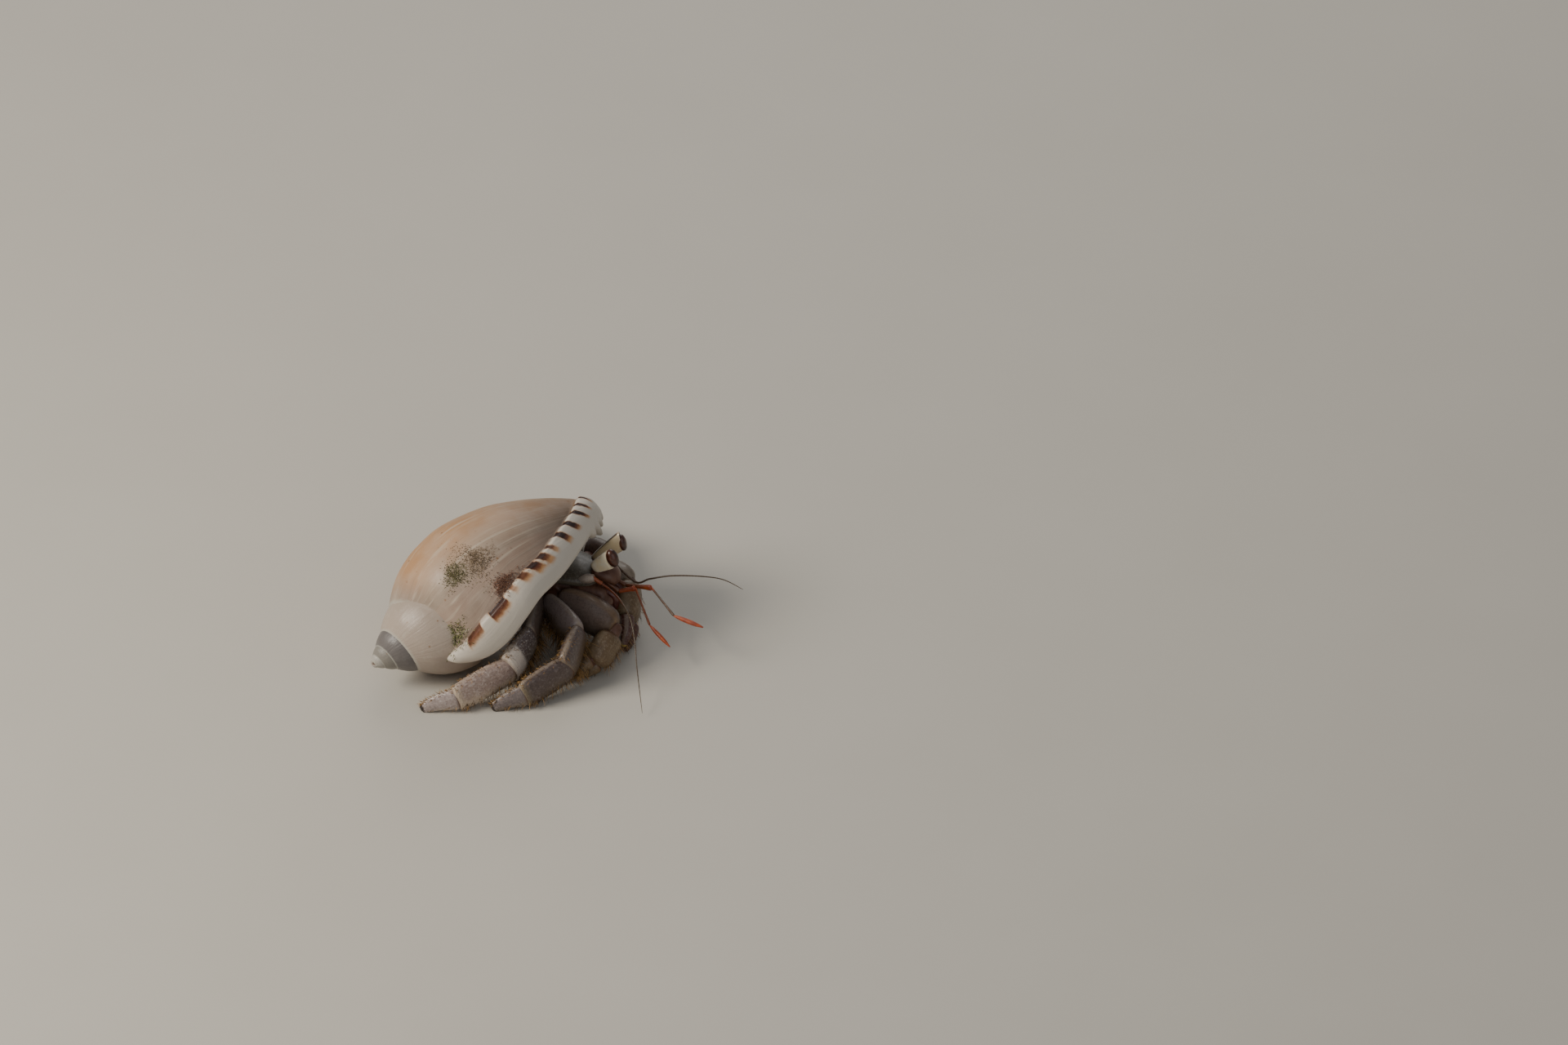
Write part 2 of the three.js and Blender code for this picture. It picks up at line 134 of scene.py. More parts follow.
def mesh_object(name, points, faces, values=None):
    """A smooth mesh object at the origin; values are numbers for each point, by name."""
    mesh = bpy.data.meshes.new(name)
    mesh.from_pydata(on_frame(points).tolist(), [], faces)
    for key, numbers in (values or {}).items():
        layer = mesh.attributes.new(key, "FLOAT", "POINT")
        layer.data.foreach_set("value", np.asarray(numbers, np.float32).ravel())
    mesh.shade_smooth()
    obj = bpy.data.objects.new(name, mesh)
    bpy.context.scene.collection.objects.link(obj)
    return obj


def grid_faces(rows, columns):
    """Quads between neighbouring points of a grid whose columns close into a ring."""
    i, j = np.meshgrid(np.arange(rows - 1), np.arange(columns), indexing="ij")
    n = (j + 1) % columns
    quads = np.stack([i * columns + j, i * columns + n, (i + 1) * columns + n, (i + 1) * columns + j], -1)
    return quads.reshape(-1, 4).tolist()


def apply_modifier(obj, kind, **settings):
    activate(obj)
    modifier = obj.modifiers.new(kind.title(), kind)
    for key, value in settings.items():
        setattr(modifier, key, value)
    bpy.ops.object.modifier_apply(modifier=modifier.name)


def outward(obj):
    """Merges doubled points and turns every face outward."""
    activate(obj)
    bpy.ops.object.mode_set(mode="EDIT")
    bpy.ops.mesh.select_all(action="SELECT")
    bpy.ops.mesh.remove_doubles(threshold=1e-7)
    bpy.ops.mesh.normals_make_consistent(inside=False)
    bpy.ops.object.mode_set(mode="OBJECT")
    return obj


def joined(name, objects):
    activate(objects[0])
    for obj in objects:
        obj.select_set(True)
    if len(objects) > 1:
        bpy.ops.object.join()
    objects[0].name = objects[0].data.name = name
    return objects[0]


def dress(obj, finish, slot, *nodes):
    """Gives a finished piece its material and the root body, and hides the imported nodes that it stands for.
    The slot is not used.
    """
    obj.data.materials.clear()
    obj.data.materials.append(finish)
    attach(obj, "root")
    if nodes:
        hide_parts(*nodes)
    return obj


# ------------------------------------------------------------------ node helpers

def put(tree, kind, inputs=None, **settings):
    node = tree.nodes.new(kind)
    for key, value in settings.items():
        setattr(node, key, value)
    for socket, value in (inputs or {}).items():
        if isinstance(value, bpy.types.NodeSocket):
            tree.links.new(value, node.inputs[socket])
        else:
            node.inputs[socket].default_value = value
    return node


def attribute(tree, name):
    return put(tree, "ShaderNodeAttribute", attribute_name=name).outputs["Fac"]


def place_of(tree):
    return put(tree, "ShaderNodeTexCoord").outputs["Object"]


def noise_of(tree, size, detail=3.0, rough=0.55, where=None, warp=0.0):
    """Noise from 0 to 1 whose patches are about `size` mm across."""
    inputs = {"Vector": where or place_of(tree), "Scale": 1 / (size * MM) if where is None else 1 / size,
              "Detail": detail, "Roughness": rough, "Distortion": warp}
    return put(tree, "ShaderNodeTexNoise", inputs).outputs["Fac"]


def dots_of(tree, size, where=None):
    """Distance to the nearest of points that lie about `size` mm apart."""
    scale = 1 / (size * MM) if where is None else 1 / size
    inputs = {"Vector": where or place_of(tree), "Scale": scale}
    return put(tree, "ShaderNodeTexVoronoi", inputs).outputs["Distance"]


def sums(tree, operation, a, b=0.0):
    return put(tree, "ShaderNodeMath", {0: a, 1: b}, operation=operation).outputs[0]


def between(tree, value, start, end, low=0.0, high=1.0):
    """A smooth step of value from low (at start) to high (at end)."""
    inputs = {"Value": value, "From Min": start, "From Max": end, "To Min": low, "To Max": high}
    return put(tree, "ShaderNodeMapRange", inputs, interpolation_type="SMOOTHSTEP").outputs["Result"]


def blend(tree, factor, a, b):
    inputs = {0: factor, 6: (*a, 1) if isinstance(a, tuple) else a, 7: (*b, 1) if isinstance(b, tuple) else b}
    return put(tree, "ShaderNodeMix", inputs, data_type="RGBA").outputs[2]


def bump(tree, height, depth, normal=None):
    """A bump whose height of 1 stands `depth` mm high."""
    inputs = {"Height": height, "Distance": depth * MM, "Strength": 1.0}
    if normal is not None:
        inputs["Normal"] = normal
    return put(tree, "ShaderNodeBump", inputs).outputs["Normal"]


def finish_named(name, **sockets):
    """A new material, its node tree and its shader, with the shader's plain values set."""
    made = bpy.data.materials.new(name)
    made.use_nodes = True
    shader = made.node_tree.nodes["Principled BSDF"]
    for socket, value in sockets.items():
        shader.inputs[socket.replace("_", " ")].default_value = value
    return made, made.node_tree, shader


def wire(tree, shader, **sockets):
    for socket, value in sockets.items():
        tree.links.new(value, shader.inputs[socket.replace("_", " ")])


# ------------------------------------------------------------------ camera, light and floor

CAMERA_AZIMUTH, CAMERA_ELEVATION = 17, 35  # degrees
CAMERA_DISTANCE = 2520  # mm
CAMERA_LENS = 400  # mm, on a 36 mm sensor
AIM_RIGHT, AIM_UP = 27.04, 15.47  # mm from the crab's origin to the middle of the view

azimuth, elevation = math.radians(CAMERA_AZIMUTH), math.radians(CAMERA_ELEVATION)
to_camera = np.array([math.sin(azimuth) * math.cos(elevation), -math.cos(azimuth) * math.cos(elevation),
                      math.sin(elevation)])
view_right = np.array([math.cos(azimuth), math.sin(azimuth), 0.0])
view_up = np.cross(to_camera, view_right)
aim = view_right * AIM_RIGHT + view_up * AIM_UP


def look(obj, at, source):
    obj.location = Vector(on_frame(source))
    obj.rotation_euler = (Vector(on_frame(at)) - obj.location).to_track_quat("-Z", "Y").to_euler()


def make_camera():
    camera = bpy.data.objects.new("camera", bpy.data.cameras.new("camera"))
    bpy.context.scene.collection.objects.link(camera)
    camera.data.lens = CAMERA_LENS
    camera.data.sensor_width = 36
    camera.data.clip_start = 0.01
    look(camera, aim, aim + to_camera * CAMERA_DISTANCE)
    bpy.context.scene.camera = camera


def make_light(name, source, size, watts, colour):
    light = bpy.data.objects.new(name, bpy.data.lights.new(name, "AREA"))
    bpy.context.scene.collection.objects.link(light)
    light.data.size = size * MM
    light.data.energy = watts
    light.data.color = colour
    look(light, (0, 0, 8), source)


def make_studio():
    world = bpy.data.worlds.new("studio")
    world.use_nodes = True
    background = world.node_tree.nodes["Background"]
    background.inputs["Color"].default_value = (0.93, 0.96, 1.0, 1)
    background.inputs["Strength"].default_value = 0.24
    bpy.context.scene.world = world
    make_light("key", (-350, -240, 310), 210, 2.5, (1.0, 0.93, 0.82))
    make_light("fill", (330, -380, 260), 420, 0.3, (0.95, 0.97, 1.0))
    make_light("back", (-60, 380, 300), 300, 0.5, (1.0, 0.98, 0.95))

    bpy.ops.mesh.primitive_plane_add(size=6, location=(0, 0, 0))
    floor = bpy.context.active_object
    floor.name = "floor"
    finish, tree, shader = finish_named("pale_floor", Roughness=0.75)
    tone = blend(tree, noise_of(tree, 30), (0.57, 0.535, 0.47), (0.61, 0.575, 0.51))
    wire(tree, shader, Base_Color=tone)
    floor.data.materials.append(finish)


# ------------------------------------------------------------------ shell form

SHELL_LENGTH = 41
SHELL_APEX = np.array([-26.7, -24.4, 4.4])
SHELL_HEADING, SHELL_PITCH, SHELL_ROLL = 49.6, 17, 3  # degrees
WHORL_RATIO = 1.75  # growth in one whole turn
WHORL_TURNS = 5
SHELL_WALL = 1.2
LIP_NARROWING, FRONT_NARROWING, LIP_LEAN, WIDEST = 0.07, 0.55, 16, 0.45
# The last whorl at the lip: radius and place along the axis, in shell lengths.
WHORL_OUTLINE = np.array([
    [0.15, 0.215], [0.19, 0.248], [0.252, 0.318], [0.292, 0.39], [0.318, 0.47], [0.327, 0.56],
    [0.29, 0.7], [0.236, 0.8], [0.182, 0.88], [0.134, 0.94], [0.092, 0.98], [0.03, 1.0],
])
SUTURE_SLIDE = 0.045  # shell lengths that the suture slides forward just behind the lip
LIP_WIDTHS = [0.2, 1.9, 4.3, 5.2, 5.25, 5.3, 5.75, 6.0, 6.5, 7.2, 7.5]  # of its thick band, at even places
LIP_STEP = 0.45  # length over which the band rises at its back edge
LIP_BULGE = 1.05  # how far the band stands out of the whorl
LIP_NOSE = 1.0  # length over which the lip's front edge rounds over
LIP_EDGE = 0.2  # how far that edge reaches past the growth's end
TEETH = [(0.93, 0.5), (0.883, 1.0), (0.832, 2.0), (0.785, 1.0)]  # place and length of the prickles
TOOTH_WIDTH = 0.013
RIM_LENGTH = 0.92 * SHELL_LENGTH  # of the outline, from place 0 to 1
# Brown bars on the lip: place, half width along the rim, how far the dark and the amber reach, strength.
BARS = [
    (0.905, 0.14, 1.6, 2.4, 0.9), (0.858, 0.20, 2.4, 3.4, 1.0), (0.800, 0.22, 2.8, 3.8, 1.0),
    (0.748, 0.27, 3.0, 4.1, 1.0), (0.682, 0.32, 2.6, 3.6, 1.0), (0.623, 0.36, 2.0, 3.3, 1.0),
    (0.565, 0.19, 0.9, 2.4, 0.85), (0.530, 0.32, 1.1, 2.6, 0.95), (0.500, 0.36, 1.1, 2.3, 1.0),
    (0.468, 0.34, 0.6, 1.8, 0.9), (0.427, 0.24, 0.2, 1.3, 0.6), (0.347, 1.4, 0.75, 1.6, 1.0),
    (0.212, 1.6, 0.4, 1.1, 0.95),
]
BAR_SKEW = (0.0065, 0.0145)  # how far a bar leans towards the front end in each mm, low and high on the lip

# Films of algae on the last whorl: turn, place, half size in degrees and in places, colour.
ALGAE_FILMS = [
    (-60, 0.405, (11, 0.08), (0.17, 0.115, 0.07)),
    (-65, 0.31, (9, 0.06), (0.115, 0.10, 0.045)),
    (-32, 0.415, (7, 0.05), (0.20, 0.09, 0.055)),
]

heading, pitch = math.radians(SHELL_HEADING), math.radians(SHELL_PITCH)
shell_level = np.array([math.sin(heading), -math.cos(heading), 0.0])
shell_axis = np.array([
    math.cos(heading) * math.cos(pitch), math.sin(heading) * math.cos(pitch), math.sin(pitch)])
lipward = turned(shell_level, shell_axis, -SHELL_ROLL)
growthward = np.cross(shell_axis, lipward)


def shell_point(turn, radius, along):
    angle = np.radians(turn)[..., None]
    around = lipward * np.cos(angle) + growthward * np.sin(angle)
    return SHELL_APEX + shell_axis * along[..., None] + around * radius[..., None]


def whorl(turn, place):
    """Radius, place along the axis and slant (degrees) of the whorl's outline at a turn."""
    outline = spline(WHORL_OUTLINE, place)
    scale = WHORL_RATIO ** (turn / 360)
    reach = smooth(-310, -180, turn)
    front_end = mix(scale, 1 + 0.05 * turn / 360, reach)
    forward = np.maximum(0, (outline[..., 1] - WIDEST) / (1 - WIDEST))
    narrowing = 1 - smooth(-130, 0, turn) * (LIP_NARROWING + FRONT_NARROWING * forward**3)
    fuller = (scale + reach * 0.5 * (1 - scale) * forward) * narrowing
    slant = LIP_LEAN * smooth(-80, 0, turn) * (1 - 2 * smooth(0.25, 0.62, outline[..., 1]))
    slide = SUTURE_SLIDE * smooth(-115, -50, turn) * (1 - smooth(-35, -5, turn))
    back = 1 - smooth(0.21, 0.4, outline[..., 1])
    along = outline[..., 1] * scale + forward * (front_end - scale) + slide * back
    return outline[..., 0] * fuller * SHELL_LENGTH, along * SHELL_LENGTH, slant


def whorl_point(turn, place, offset):
    """Points of the whorl moved outward by offset, and their distance from the axis."""
    nudge = 0.01
    before, after = whorl(turn, np.maximum(place - nudge, 0)), whorl(turn, np.minimum(place + nudge, 1))
    radius, along, slant = whorl(turn, place)
    out_r, out_s = after[1] - before[1], before[0] - after[0]
    size = np.hypot(out_r, out_s)
    radius = np.maximum(radius + offset * out_r / size, 0.02)
    return shell_point(turn + slant, radius, along + offset * out_s / size), radius


def lip_depth(place, behind):
    """Length in front of the back edge of the lip's band, whose edge swells between the bars."""
    dent = 0.22 * smooth(0.35, -0.1, bar_gap(place, 0 * place)[0])
    return spline([[width] for width in LIP_WIDTHS], place)[..., 0] - dent - behind


def lip_raise(place, behind):
    """Height of the lip's band over the whorl."""
    depth = lip_depth(place, behind)
    width = depth + behind
    rise = smooth(-LIP_STEP / 2, LIP_STEP / 2, depth)
    dome = 1 - 0.45 * ((behind - 0.55 * width) / (0.55 * width)) ** 2
    return LIP_BULGE * rise * np.clip(dome, 0.2, 1) * smooth(0.0, 2.5, width)


def bar_gap(place, depth):
    """Distance past the edge of the nearest bar (below 0 inside it) and that bar's other numbers."""
    lean = mix(*BAR_SKEW, smooth(0.62, 0.85, place)) * np.clip(depth, 0, 5)
    gap = np.full(place.shape, 9.0)
    others = [np.zeros(place.shape) for _ in range(3)]
    for middle, half, *numbers in BARS:
        far = np.abs(place - lean - middle) * RIM_LENGTH - half
        others = [np.where(far < gap, number, kept) for number, kept in zip(numbers, others)]
        gap = np.minimum(gap, far)
    return gap, *others


FINER_FROM, FINEST_FROM = -75, -4.5  # turns from which the mesh is closer, towards the lip
HOLLOW_FROM = (-345, -325)  # turns over which the inside opens from a solid spire


def make_shell_mesh():
    turns = np.concatenate([
        np.linspace(-360 * WHORL_TURNS, -360, 108, endpoint=False),
        np.linspace(-360, FINER_FROM, 70, endpoint=False),
        np.linspace(FINER_FROM, FINEST_FROM, 100, endpoint=False),
        FINEST_FROM * (1 - np.sin(np.linspace(0, math.pi / 2, 16))),
    ])
    places = np.linspace(0, 1, 161)
    turn, place = np.meshgrid(turns, places, indexing="ij")
    _, radius = whorl_point(turn, place, np.zeros(turn.shape))
    behind = radius * np.radians(-turn)
    near_lip = smooth(-150, -90, turn)
    raised = lip_raise(place, behind) * near_lip
    depth = np.where(turn > -150, lip_depth(place, behind), -30.0)
    gap, dark, amber, strength = bar_gap(place, depth)

    nose = np.sqrt(np.clip(1 - (1 - np.clip(behind / LIP_NOSE, 0.004, 1)) ** 2, 0, 1))
    nose = np.where(turn > -60, nose, 1.0)
    front = np.sqrt(np.clip((1 - place) / 0.03, 0.02, 1))
    full = nose * front
    forward = sum(length * np.exp(-(((place - spot) / TOOTH_WIDTH) ** 2)) for spot, length in TEETH)
    forward = (forward + LIP_EDGE) * smooth(1.8, 0.0, behind) * smooth(-60, -30, turn)
    shifted = turn + np.degrees(forward / np.maximum(radius, 1.5))

    half = SHELL_WALL / 2
    outer, _ = whorl_point(shifted, place, -half + (half + raised) * full)
    inner, _ = whorl_point(shifted, place, -half - half * full)
    core = SHELL_APEX + shell_axis * (whorl(turn, place)[1])[..., None]
    hollow = smooth(*HOLLOW_FROM, turn)[..., None]
    inner = core + (inner - core) * np.maximum(hollow, 0.01)

    rings = on_floor(np.concatenate([outer, inner[:, ::-1]], 1))
    rows, columns = rings.shape[:2]
    faces = grid_faces(rows, columns)
    for row, flip in ((0, False), (rows - 1, True)):
        for i in range(len(places) - 1):
            a, b = row * columns + i, row * columns + i + 1
            d, c = (row + 1) * columns - 1 - i, (row + 1) * columns - 2 - i
            faces.append([a, b, c, d] if flip else [d, c, b, a])
    both = lambda values: np.concatenate([values, values[:, ::-1]], 1)
    outer_only = lambda values, other: np.concatenate([values, np.full(values.shape, other)], 1)
    values = {
        "growth": both(turn / 360),
        "place": both(place),
        "depth": outer_only(np.maximum(depth, -30), -30.0),
        "bar": both(np.minimum(gap, 4)),
        "bar_dark": both(dark),
        "bar_amber": both(amber),
        "bar_strength": both(strength),
        "inside": outer_only(np.zeros(turn.shape), 1.0),
    }
    return outward(mesh_object("shell_body", rings.reshape(-1, 3), faces, values))


# The pillar: place along the axis, in shell lengths, and radius.
COLUMELLA = [
    (0.28, 0.0), (0.30, 1.95), (0.5, 1.85), (0.7, 1.6), (0.86, 1.35), (0.955, 0.95), (0.985, 0.45),
    (0.99, 0.0),
]


def make_pillar():
    """The pillar, with folds that wind round it."""
    rows, columns = 90, 40
    profile = spline(COLUMELLA, np.linspace(0, 1, rows))
    angle = np.linspace(0, 2 * math.pi, columns, endpoint=False)
    s, a = profile[:, :1], angle[None, :]
    radius = np.maximum(profile[:, 1:], 0.01) * (1 + 0.07 * np.cos(3 * a + 26 * s) + 0 * a)
    points = shell_point(np.degrees(a) + 0 * s, radius, s * SHELL_LENGTH + 0 * a)
    obj = mesh_object("shell_pillar", points.reshape(-1, 3), grid_faces(rows, columns))
    return outward(obj)


# ------------------------------------------------------------------ shell finish

def shell_finish():
    finish, tree, shader = finish_named(
        "glazed_shell", IOR=1.5, Coat_Weight=0.10, Coat_Roughness=0.25, Specular_IOR_Level=0.42)
    growth, place, depth = (attribute(tree, key) for key in ("growth", "place", "depth"))
    gap, inside = attribute(tree, "bar"), attribute(tree, "inside")

    # Streaks that follow the growing edge: fine across the growth, long along the outline.
    where = put(tree, "ShaderNodeCombineXYZ", {
        "X": sums(tree, "MULTIPLY", growth, 75.0), "Y": sums(tree, "MULTIPLY", place, 3.5), "Z": 0.0,
    }).outputs[0]
    streak = noise_of(tree, 1.0, 4.0, 0.6, where, 0.4)
    broad = noise_of(tree, 4.0, 2.0, 0.5, where, 0.6)
    cloud = noise_of(tree, 6.0, 3.0)
    patch = noise_of(tree, 3.6, 4.0, 0.62)
    fine = noise_of(tree, 0.8, 4.0, 0.6)

    body = blend(tree, between(tree, cloud, 0.36, 0.66), (0.30, 0.232, 0.178), (0.40, 0.325, 0.26))
    body = blend(tree, between(tree, broad, 0.42, 0.66, 0.0, 0.55), body, (0.37, 0.25, 0.19))
    # The warm tan side, furthest from the lip, with paler pink patches in it.
    warm = sums(tree, "MULTIPLY", between(tree, growth, -0.15, -0.27), between(tree, place, 0.08, 0.22))
    tan = blend(tree, between(tree, cloud, 0.38, 0.66), (0.46, 0.25, 0.115), (0.49, 0.315, 0.195))
    body = blend(tree, sums(tree, "MULTIPLY", warm, 0.92), body, tan)
    body = blend(tree, between(tree, streak, 0.53, 0.70, 0.0, 0.55), body, (0.58, 0.50, 0.39))
    body = blend(tree, between(tree, streak, 0.42, 0.28, 0.0, 0.4), body, (0.27, 0.19, 0.125))
    # Painted shade: darker brown towards the front end, where the whorl turns away from the light.
    front = sums(tree, "MULTIPLY", between(tree, place, 0.40, 0.80), between(tree, growth, -0.46, -0.15))
    body = blend(tree, sums(tree, "MULTIPLY", front, 0.95), body, (0.135, 0.085, 0.05))

    # Older whorls turn grey, then slate, with a pale band under each suture.
    grey = blend(tree, patch, (0.385, 0.305, 0.245), (0.46, 0.38, 0.315))
    grey = blend(tree, between(tree, fine, 0.5, 0.75, 0.0, 0.4), grey, (0.50, 0.45, 0.38))
    slate = blend(tree, fine, (0.112, 0.098, 0.094), (0.185, 0.168, 0.160))
    colour = blend(tree, between(tree, growth, -0.62, -0.84), body, grey)
    colour = blend(tree, between(tree, growth, -1.5, -1.75), colour, slate)
    colour = blend(tree, between(tree, growth, -2.5, -2.9), colour, (0.235, 0.215, 0.185))
    colour = blend(tree, between(tree, growth, -3.5, -4.2), colour, (0.44, 0.41, 0.36))
    suture = sums(tree, "ADD", place, sums(tree, "MULTIPLY", fine, 0.03))
    pale_edge = sums(tree, "MULTIPLY", between(tree, suture, 0.105, 0.075), 0.6)
    colour = blend(tree, pale_edge, colour, (0.50, 0.49, 0.42))

    # Tiny brown specks.
    speck = between(tree, dots_of(tree, 1.9), 0.12, 0.07)
    speck = sums(tree, "MULTIPLY", speck, between(tree, noise_of(tree, 5.0), 0.42, 0.56))
    colour = blend(tree, sums(tree, "MULTIPLY", speck, 0.75), colour, (0.22, 0.10, 0.03))

    # Films of algae, brown, olive and red-brown.
    fuzz = noise_of(tree, 0.42, 4.0, 0.7)
    for turn_, place_, reach, film in ALGAE_FILMS:
        far = put(tree, "ShaderNodeCombineXYZ", {
            "X": sums(tree, "MULTIPLY", sums(tree, "SUBTRACT", growth, turn_ / 360), 360 / reach[0]),
            "Y": sums(tree, "MULTIPLY", sums(tree, "SUBTRACT", place, place_), 1 / reach[1]), "Z": 0.0,
        }).outputs[0]
        far = put(tree, "ShaderNodeVectorMath", {0: far}, operation="LENGTH").outputs["Value"]
        edge = sums(tree, "ADD", far, sums(tree, "MULTIPLY", patch, 1.1))
        film_mask = sums(tree, "MULTIPLY", between(tree, edge, 1.65, 1.15), between(tree, fuzz, 0.42, 0.58))
        colour = blend(tree, sums(tree, "MULTIPLY", film_mask, 0.85), colour, film)

    # The white lip.
    lip_edge = sums(tree, "ADD", depth, sums(tree, "MULTIPLY", fine, 0.2))
    white = blend(tree, cloud, (0.56, 0.50, 0.42), (0.66, 0.60, 0.52))
    colour = blend(tree, between(tree, lip_edge, -0.1, 0.2), colour, white)
    # Its bars: almost black at the back edge, then red-brown, then amber.
    wobble = sums(tree, "SUBTRACT", noise_of(tree, 0.55, 3.0), 0.5)
    edge = sums(tree, "ADD", gap, sums(tree, "MULTIPLY", wobble, 0.22))
    run = sums(tree, "ADD", depth, sums(tree, "MULTIPLY", wobble, 0.6))
    strength = sums(tree, "MULTIPLY", attribute(tree, "bar_strength"), between(tree, depth, -0.32, -0.12))
    on_bar = sums(tree, "MULTIPLY", between(tree, edge, 0.14, -0.06), strength)
    halo = sums(tree, "MULTIPLY", between(tree, edge, 0.30, -0.10), strength)
    amber_left = sums(tree, "SUBTRACT", attribute(tree, "bar_amber"), run)
    dark_left = sums(tree, "SUBTRACT", attribute(tree, "bar_dark"), run)
    amber = sums(tree, "MULTIPLY", halo, between(tree, amber_left, -0.3, 0.8))
    red = sums(tree, "MULTIPLY", on_bar, between(tree, dark_left, -0.75, 0.2))
    dark = sums(tree, "MULTIPLY", on_bar, between(tree, dark_left, 0.0, 0.9))
    colour = blend(tree, sums(tree, "MULTIPLY", amber, 0.85), colour, (0.50, 0.21, 0.035))
    colour = blend(tree, sums(tree, "MULTIPLY", red, 0.95), colour, (0.12, 0.026, 0.008))
    colour = blend(tree, sums(tree, "MULTIPLY", dark, 0.97), colour, (0.018, 0.005, 0.004))
    colour = blend(tree, inside, colour, (0.40, 0.29, 0.235))

    rough = between(tree, noise_of(tree, 2.2, 4.0, 0.6), 0.3, 0.7, 0.42, 0.62)
    rough = between(tree, growth, -0.8, -0.6, sums(tree, "MULTIPLY", rough, 0.72), rough)
    ridges = bump(tree, streak, 0.08)
    pits = bump(tree, noise_of(tree, 0.35, 3.0, 0.6), 0.014, ridges)
    wire(tree, shader, Base_Color=colour, Roughness=rough, Normal=pits)
    return finish


# ------------------------------------------------------------------ skins

def make_skin_grain():
    """Masks that the skins share: blotches and fine grain from 0 to 1, and small pores."""
    group = bpy.data.node_groups.new("skin_grain", "ShaderNodeTree")
    group.interface.new_socket("Size", in_out="INPUT", socket_type="NodeSocketFloat")
    for name in ("Blotch", "Fine", "Pores"):
        group.interface.new_socket(name, in_out="OUTPUT", socket_type="NodeSocketFloat")
    entry, leave = group.nodes.new("NodeGroupInput"), group.nodes.new("NodeGroupOutput")
    scale = sums(group, "DIVIDE", 1 / MM, entry.outputs["Size"])
    scaled = put(group, "ShaderNodeVectorMath", {0: place_of(group), "Scale": scale}, operation="SCALE")
    where = scaled.outputs[0]
    group.links.new(noise_of(group, 1.0, 4.0, 0.6, where), leave.inputs["Blotch"])
    group.links.new(noise_of(group, 0.14, 3.0, 0.6, where), leave.inputs["Fine"])
    group.links.new(between(group, dots_of(group, 0.18, where), 0.2, 0.1), leave.inputs["Pores"])
    return group


def skin_grain(tree, size):
    """The shared masks, with blotches about `size` mm across."""
    node = put(tree, "ShaderNodeGroup", node_tree=bpy.data.node_groups["skin_grain"])
    node.inputs["Size"].default_value = size
    return [node.outputs[name] for name in ("Blotch", "Fine", "Pores")]


def plate_finish(name, upper, lower, split=-0.1, sharp=0.4, rim=(0.36, 0.29, 0.22),
                 fleck=(0.42, 0.37, 0.33), flecks=0.3, end=None, end_at=(0.80, 0.97), tip=None, tint=None,
                 base=(0.13, 0.055, 0.02), size=2.4, rough=(0.32, 0.56), relief=0.02):
    """A plate of the skin: upper colour above, lower beneath, pale margins and granules, brown base."""
    finish, tree, shader = finish_named(name, Coat_Weight=0.22, Coat_Roughness=0.22)
    along, height, grain = (attribute(tree, key) for key in ("along", "height", "grain"))
    blotch, fine, pores = skin_grain(tree, size)
    ragged = sums(tree, "MULTIPLY", sums(tree, "SUBTRACT", fine, 0.5), 0.12)
    level = sums(tree, "ADD", height, sums(tree, "MULTIPLY", sums(tree, "SUBTRACT", blotch, 0.5), 3 * sharp))
    spot = sums(tree, "ADD", along, ragged)
    colour = blend(tree, between(tree, level, split - sharp, split + sharp), lower, upper)
    colour = blend(tree, between(tree, fine, 0.50, 0.70, 0.0, 0.6), colour, tuple(c * 0.5 for c in upper))
    colour = blend(tree, between(tree, fine, 0.46, 0.32, 0.0, flecks), colour, fleck)
    colour = blend(tree, between(tree, grain, 0.35, 0.9, 0.0, flecks), colour, fleck)
    if end:
        colour = blend(tree, between(tree, spot, *end_at, 0.0, 0.85), colour, end)
    edge = sums(tree, "ABSOLUTE", height)
    colour = blend(tree, between(tree, edge, 0.93, 1.0, 0.0, 0.45), colour, rim)
    colour = blend(tree, between(tree, spot, 0.955, 0.99, 0.0, 0.45), colour, rim)
    colour = blend(tree, between(tree, spot, 0.13, 0.02, 0.0, 0.9), colour, base)
    if tint:
        colour = blend(tree, attribute(tree, "tint"), colour, tint)
    if tip:
        colour = blend(tree, between(tree, spot, 0.86, 0.91), colour, tip)
    colour = blend(tree, sums(tree, "MULTIPLY", pores, 0.55), colour, (0.05, 0.03, 0.02))
    wire(tree, shader, Base_Color=colour, Roughness=between(tree, blotch, 0.3, 0.7, *rough),
         Normal=bump(tree, fine, relief))
    return finish


def plain_finish(name, base, other, size, rough, coat=0.0):
    """One skin colour with blotches of another."""
    finish, tree, shader = finish_named(name, Coat_Weight=coat, Coat_Roughness=0.15)
    blotch, fine, _ = skin_grain(tree, size)
    colour = blend(tree, between(tree, blotch, 0.35, 0.68), base, other)
    wire(tree, shader, Base_Color=colour, Roughness=between(tree, blotch, 0.3, 0.7, rough, rough + 0.15),
         Normal=bump(tree, fine, 0.02))
    return finish


# ------------------------------------------------------------------ limbs

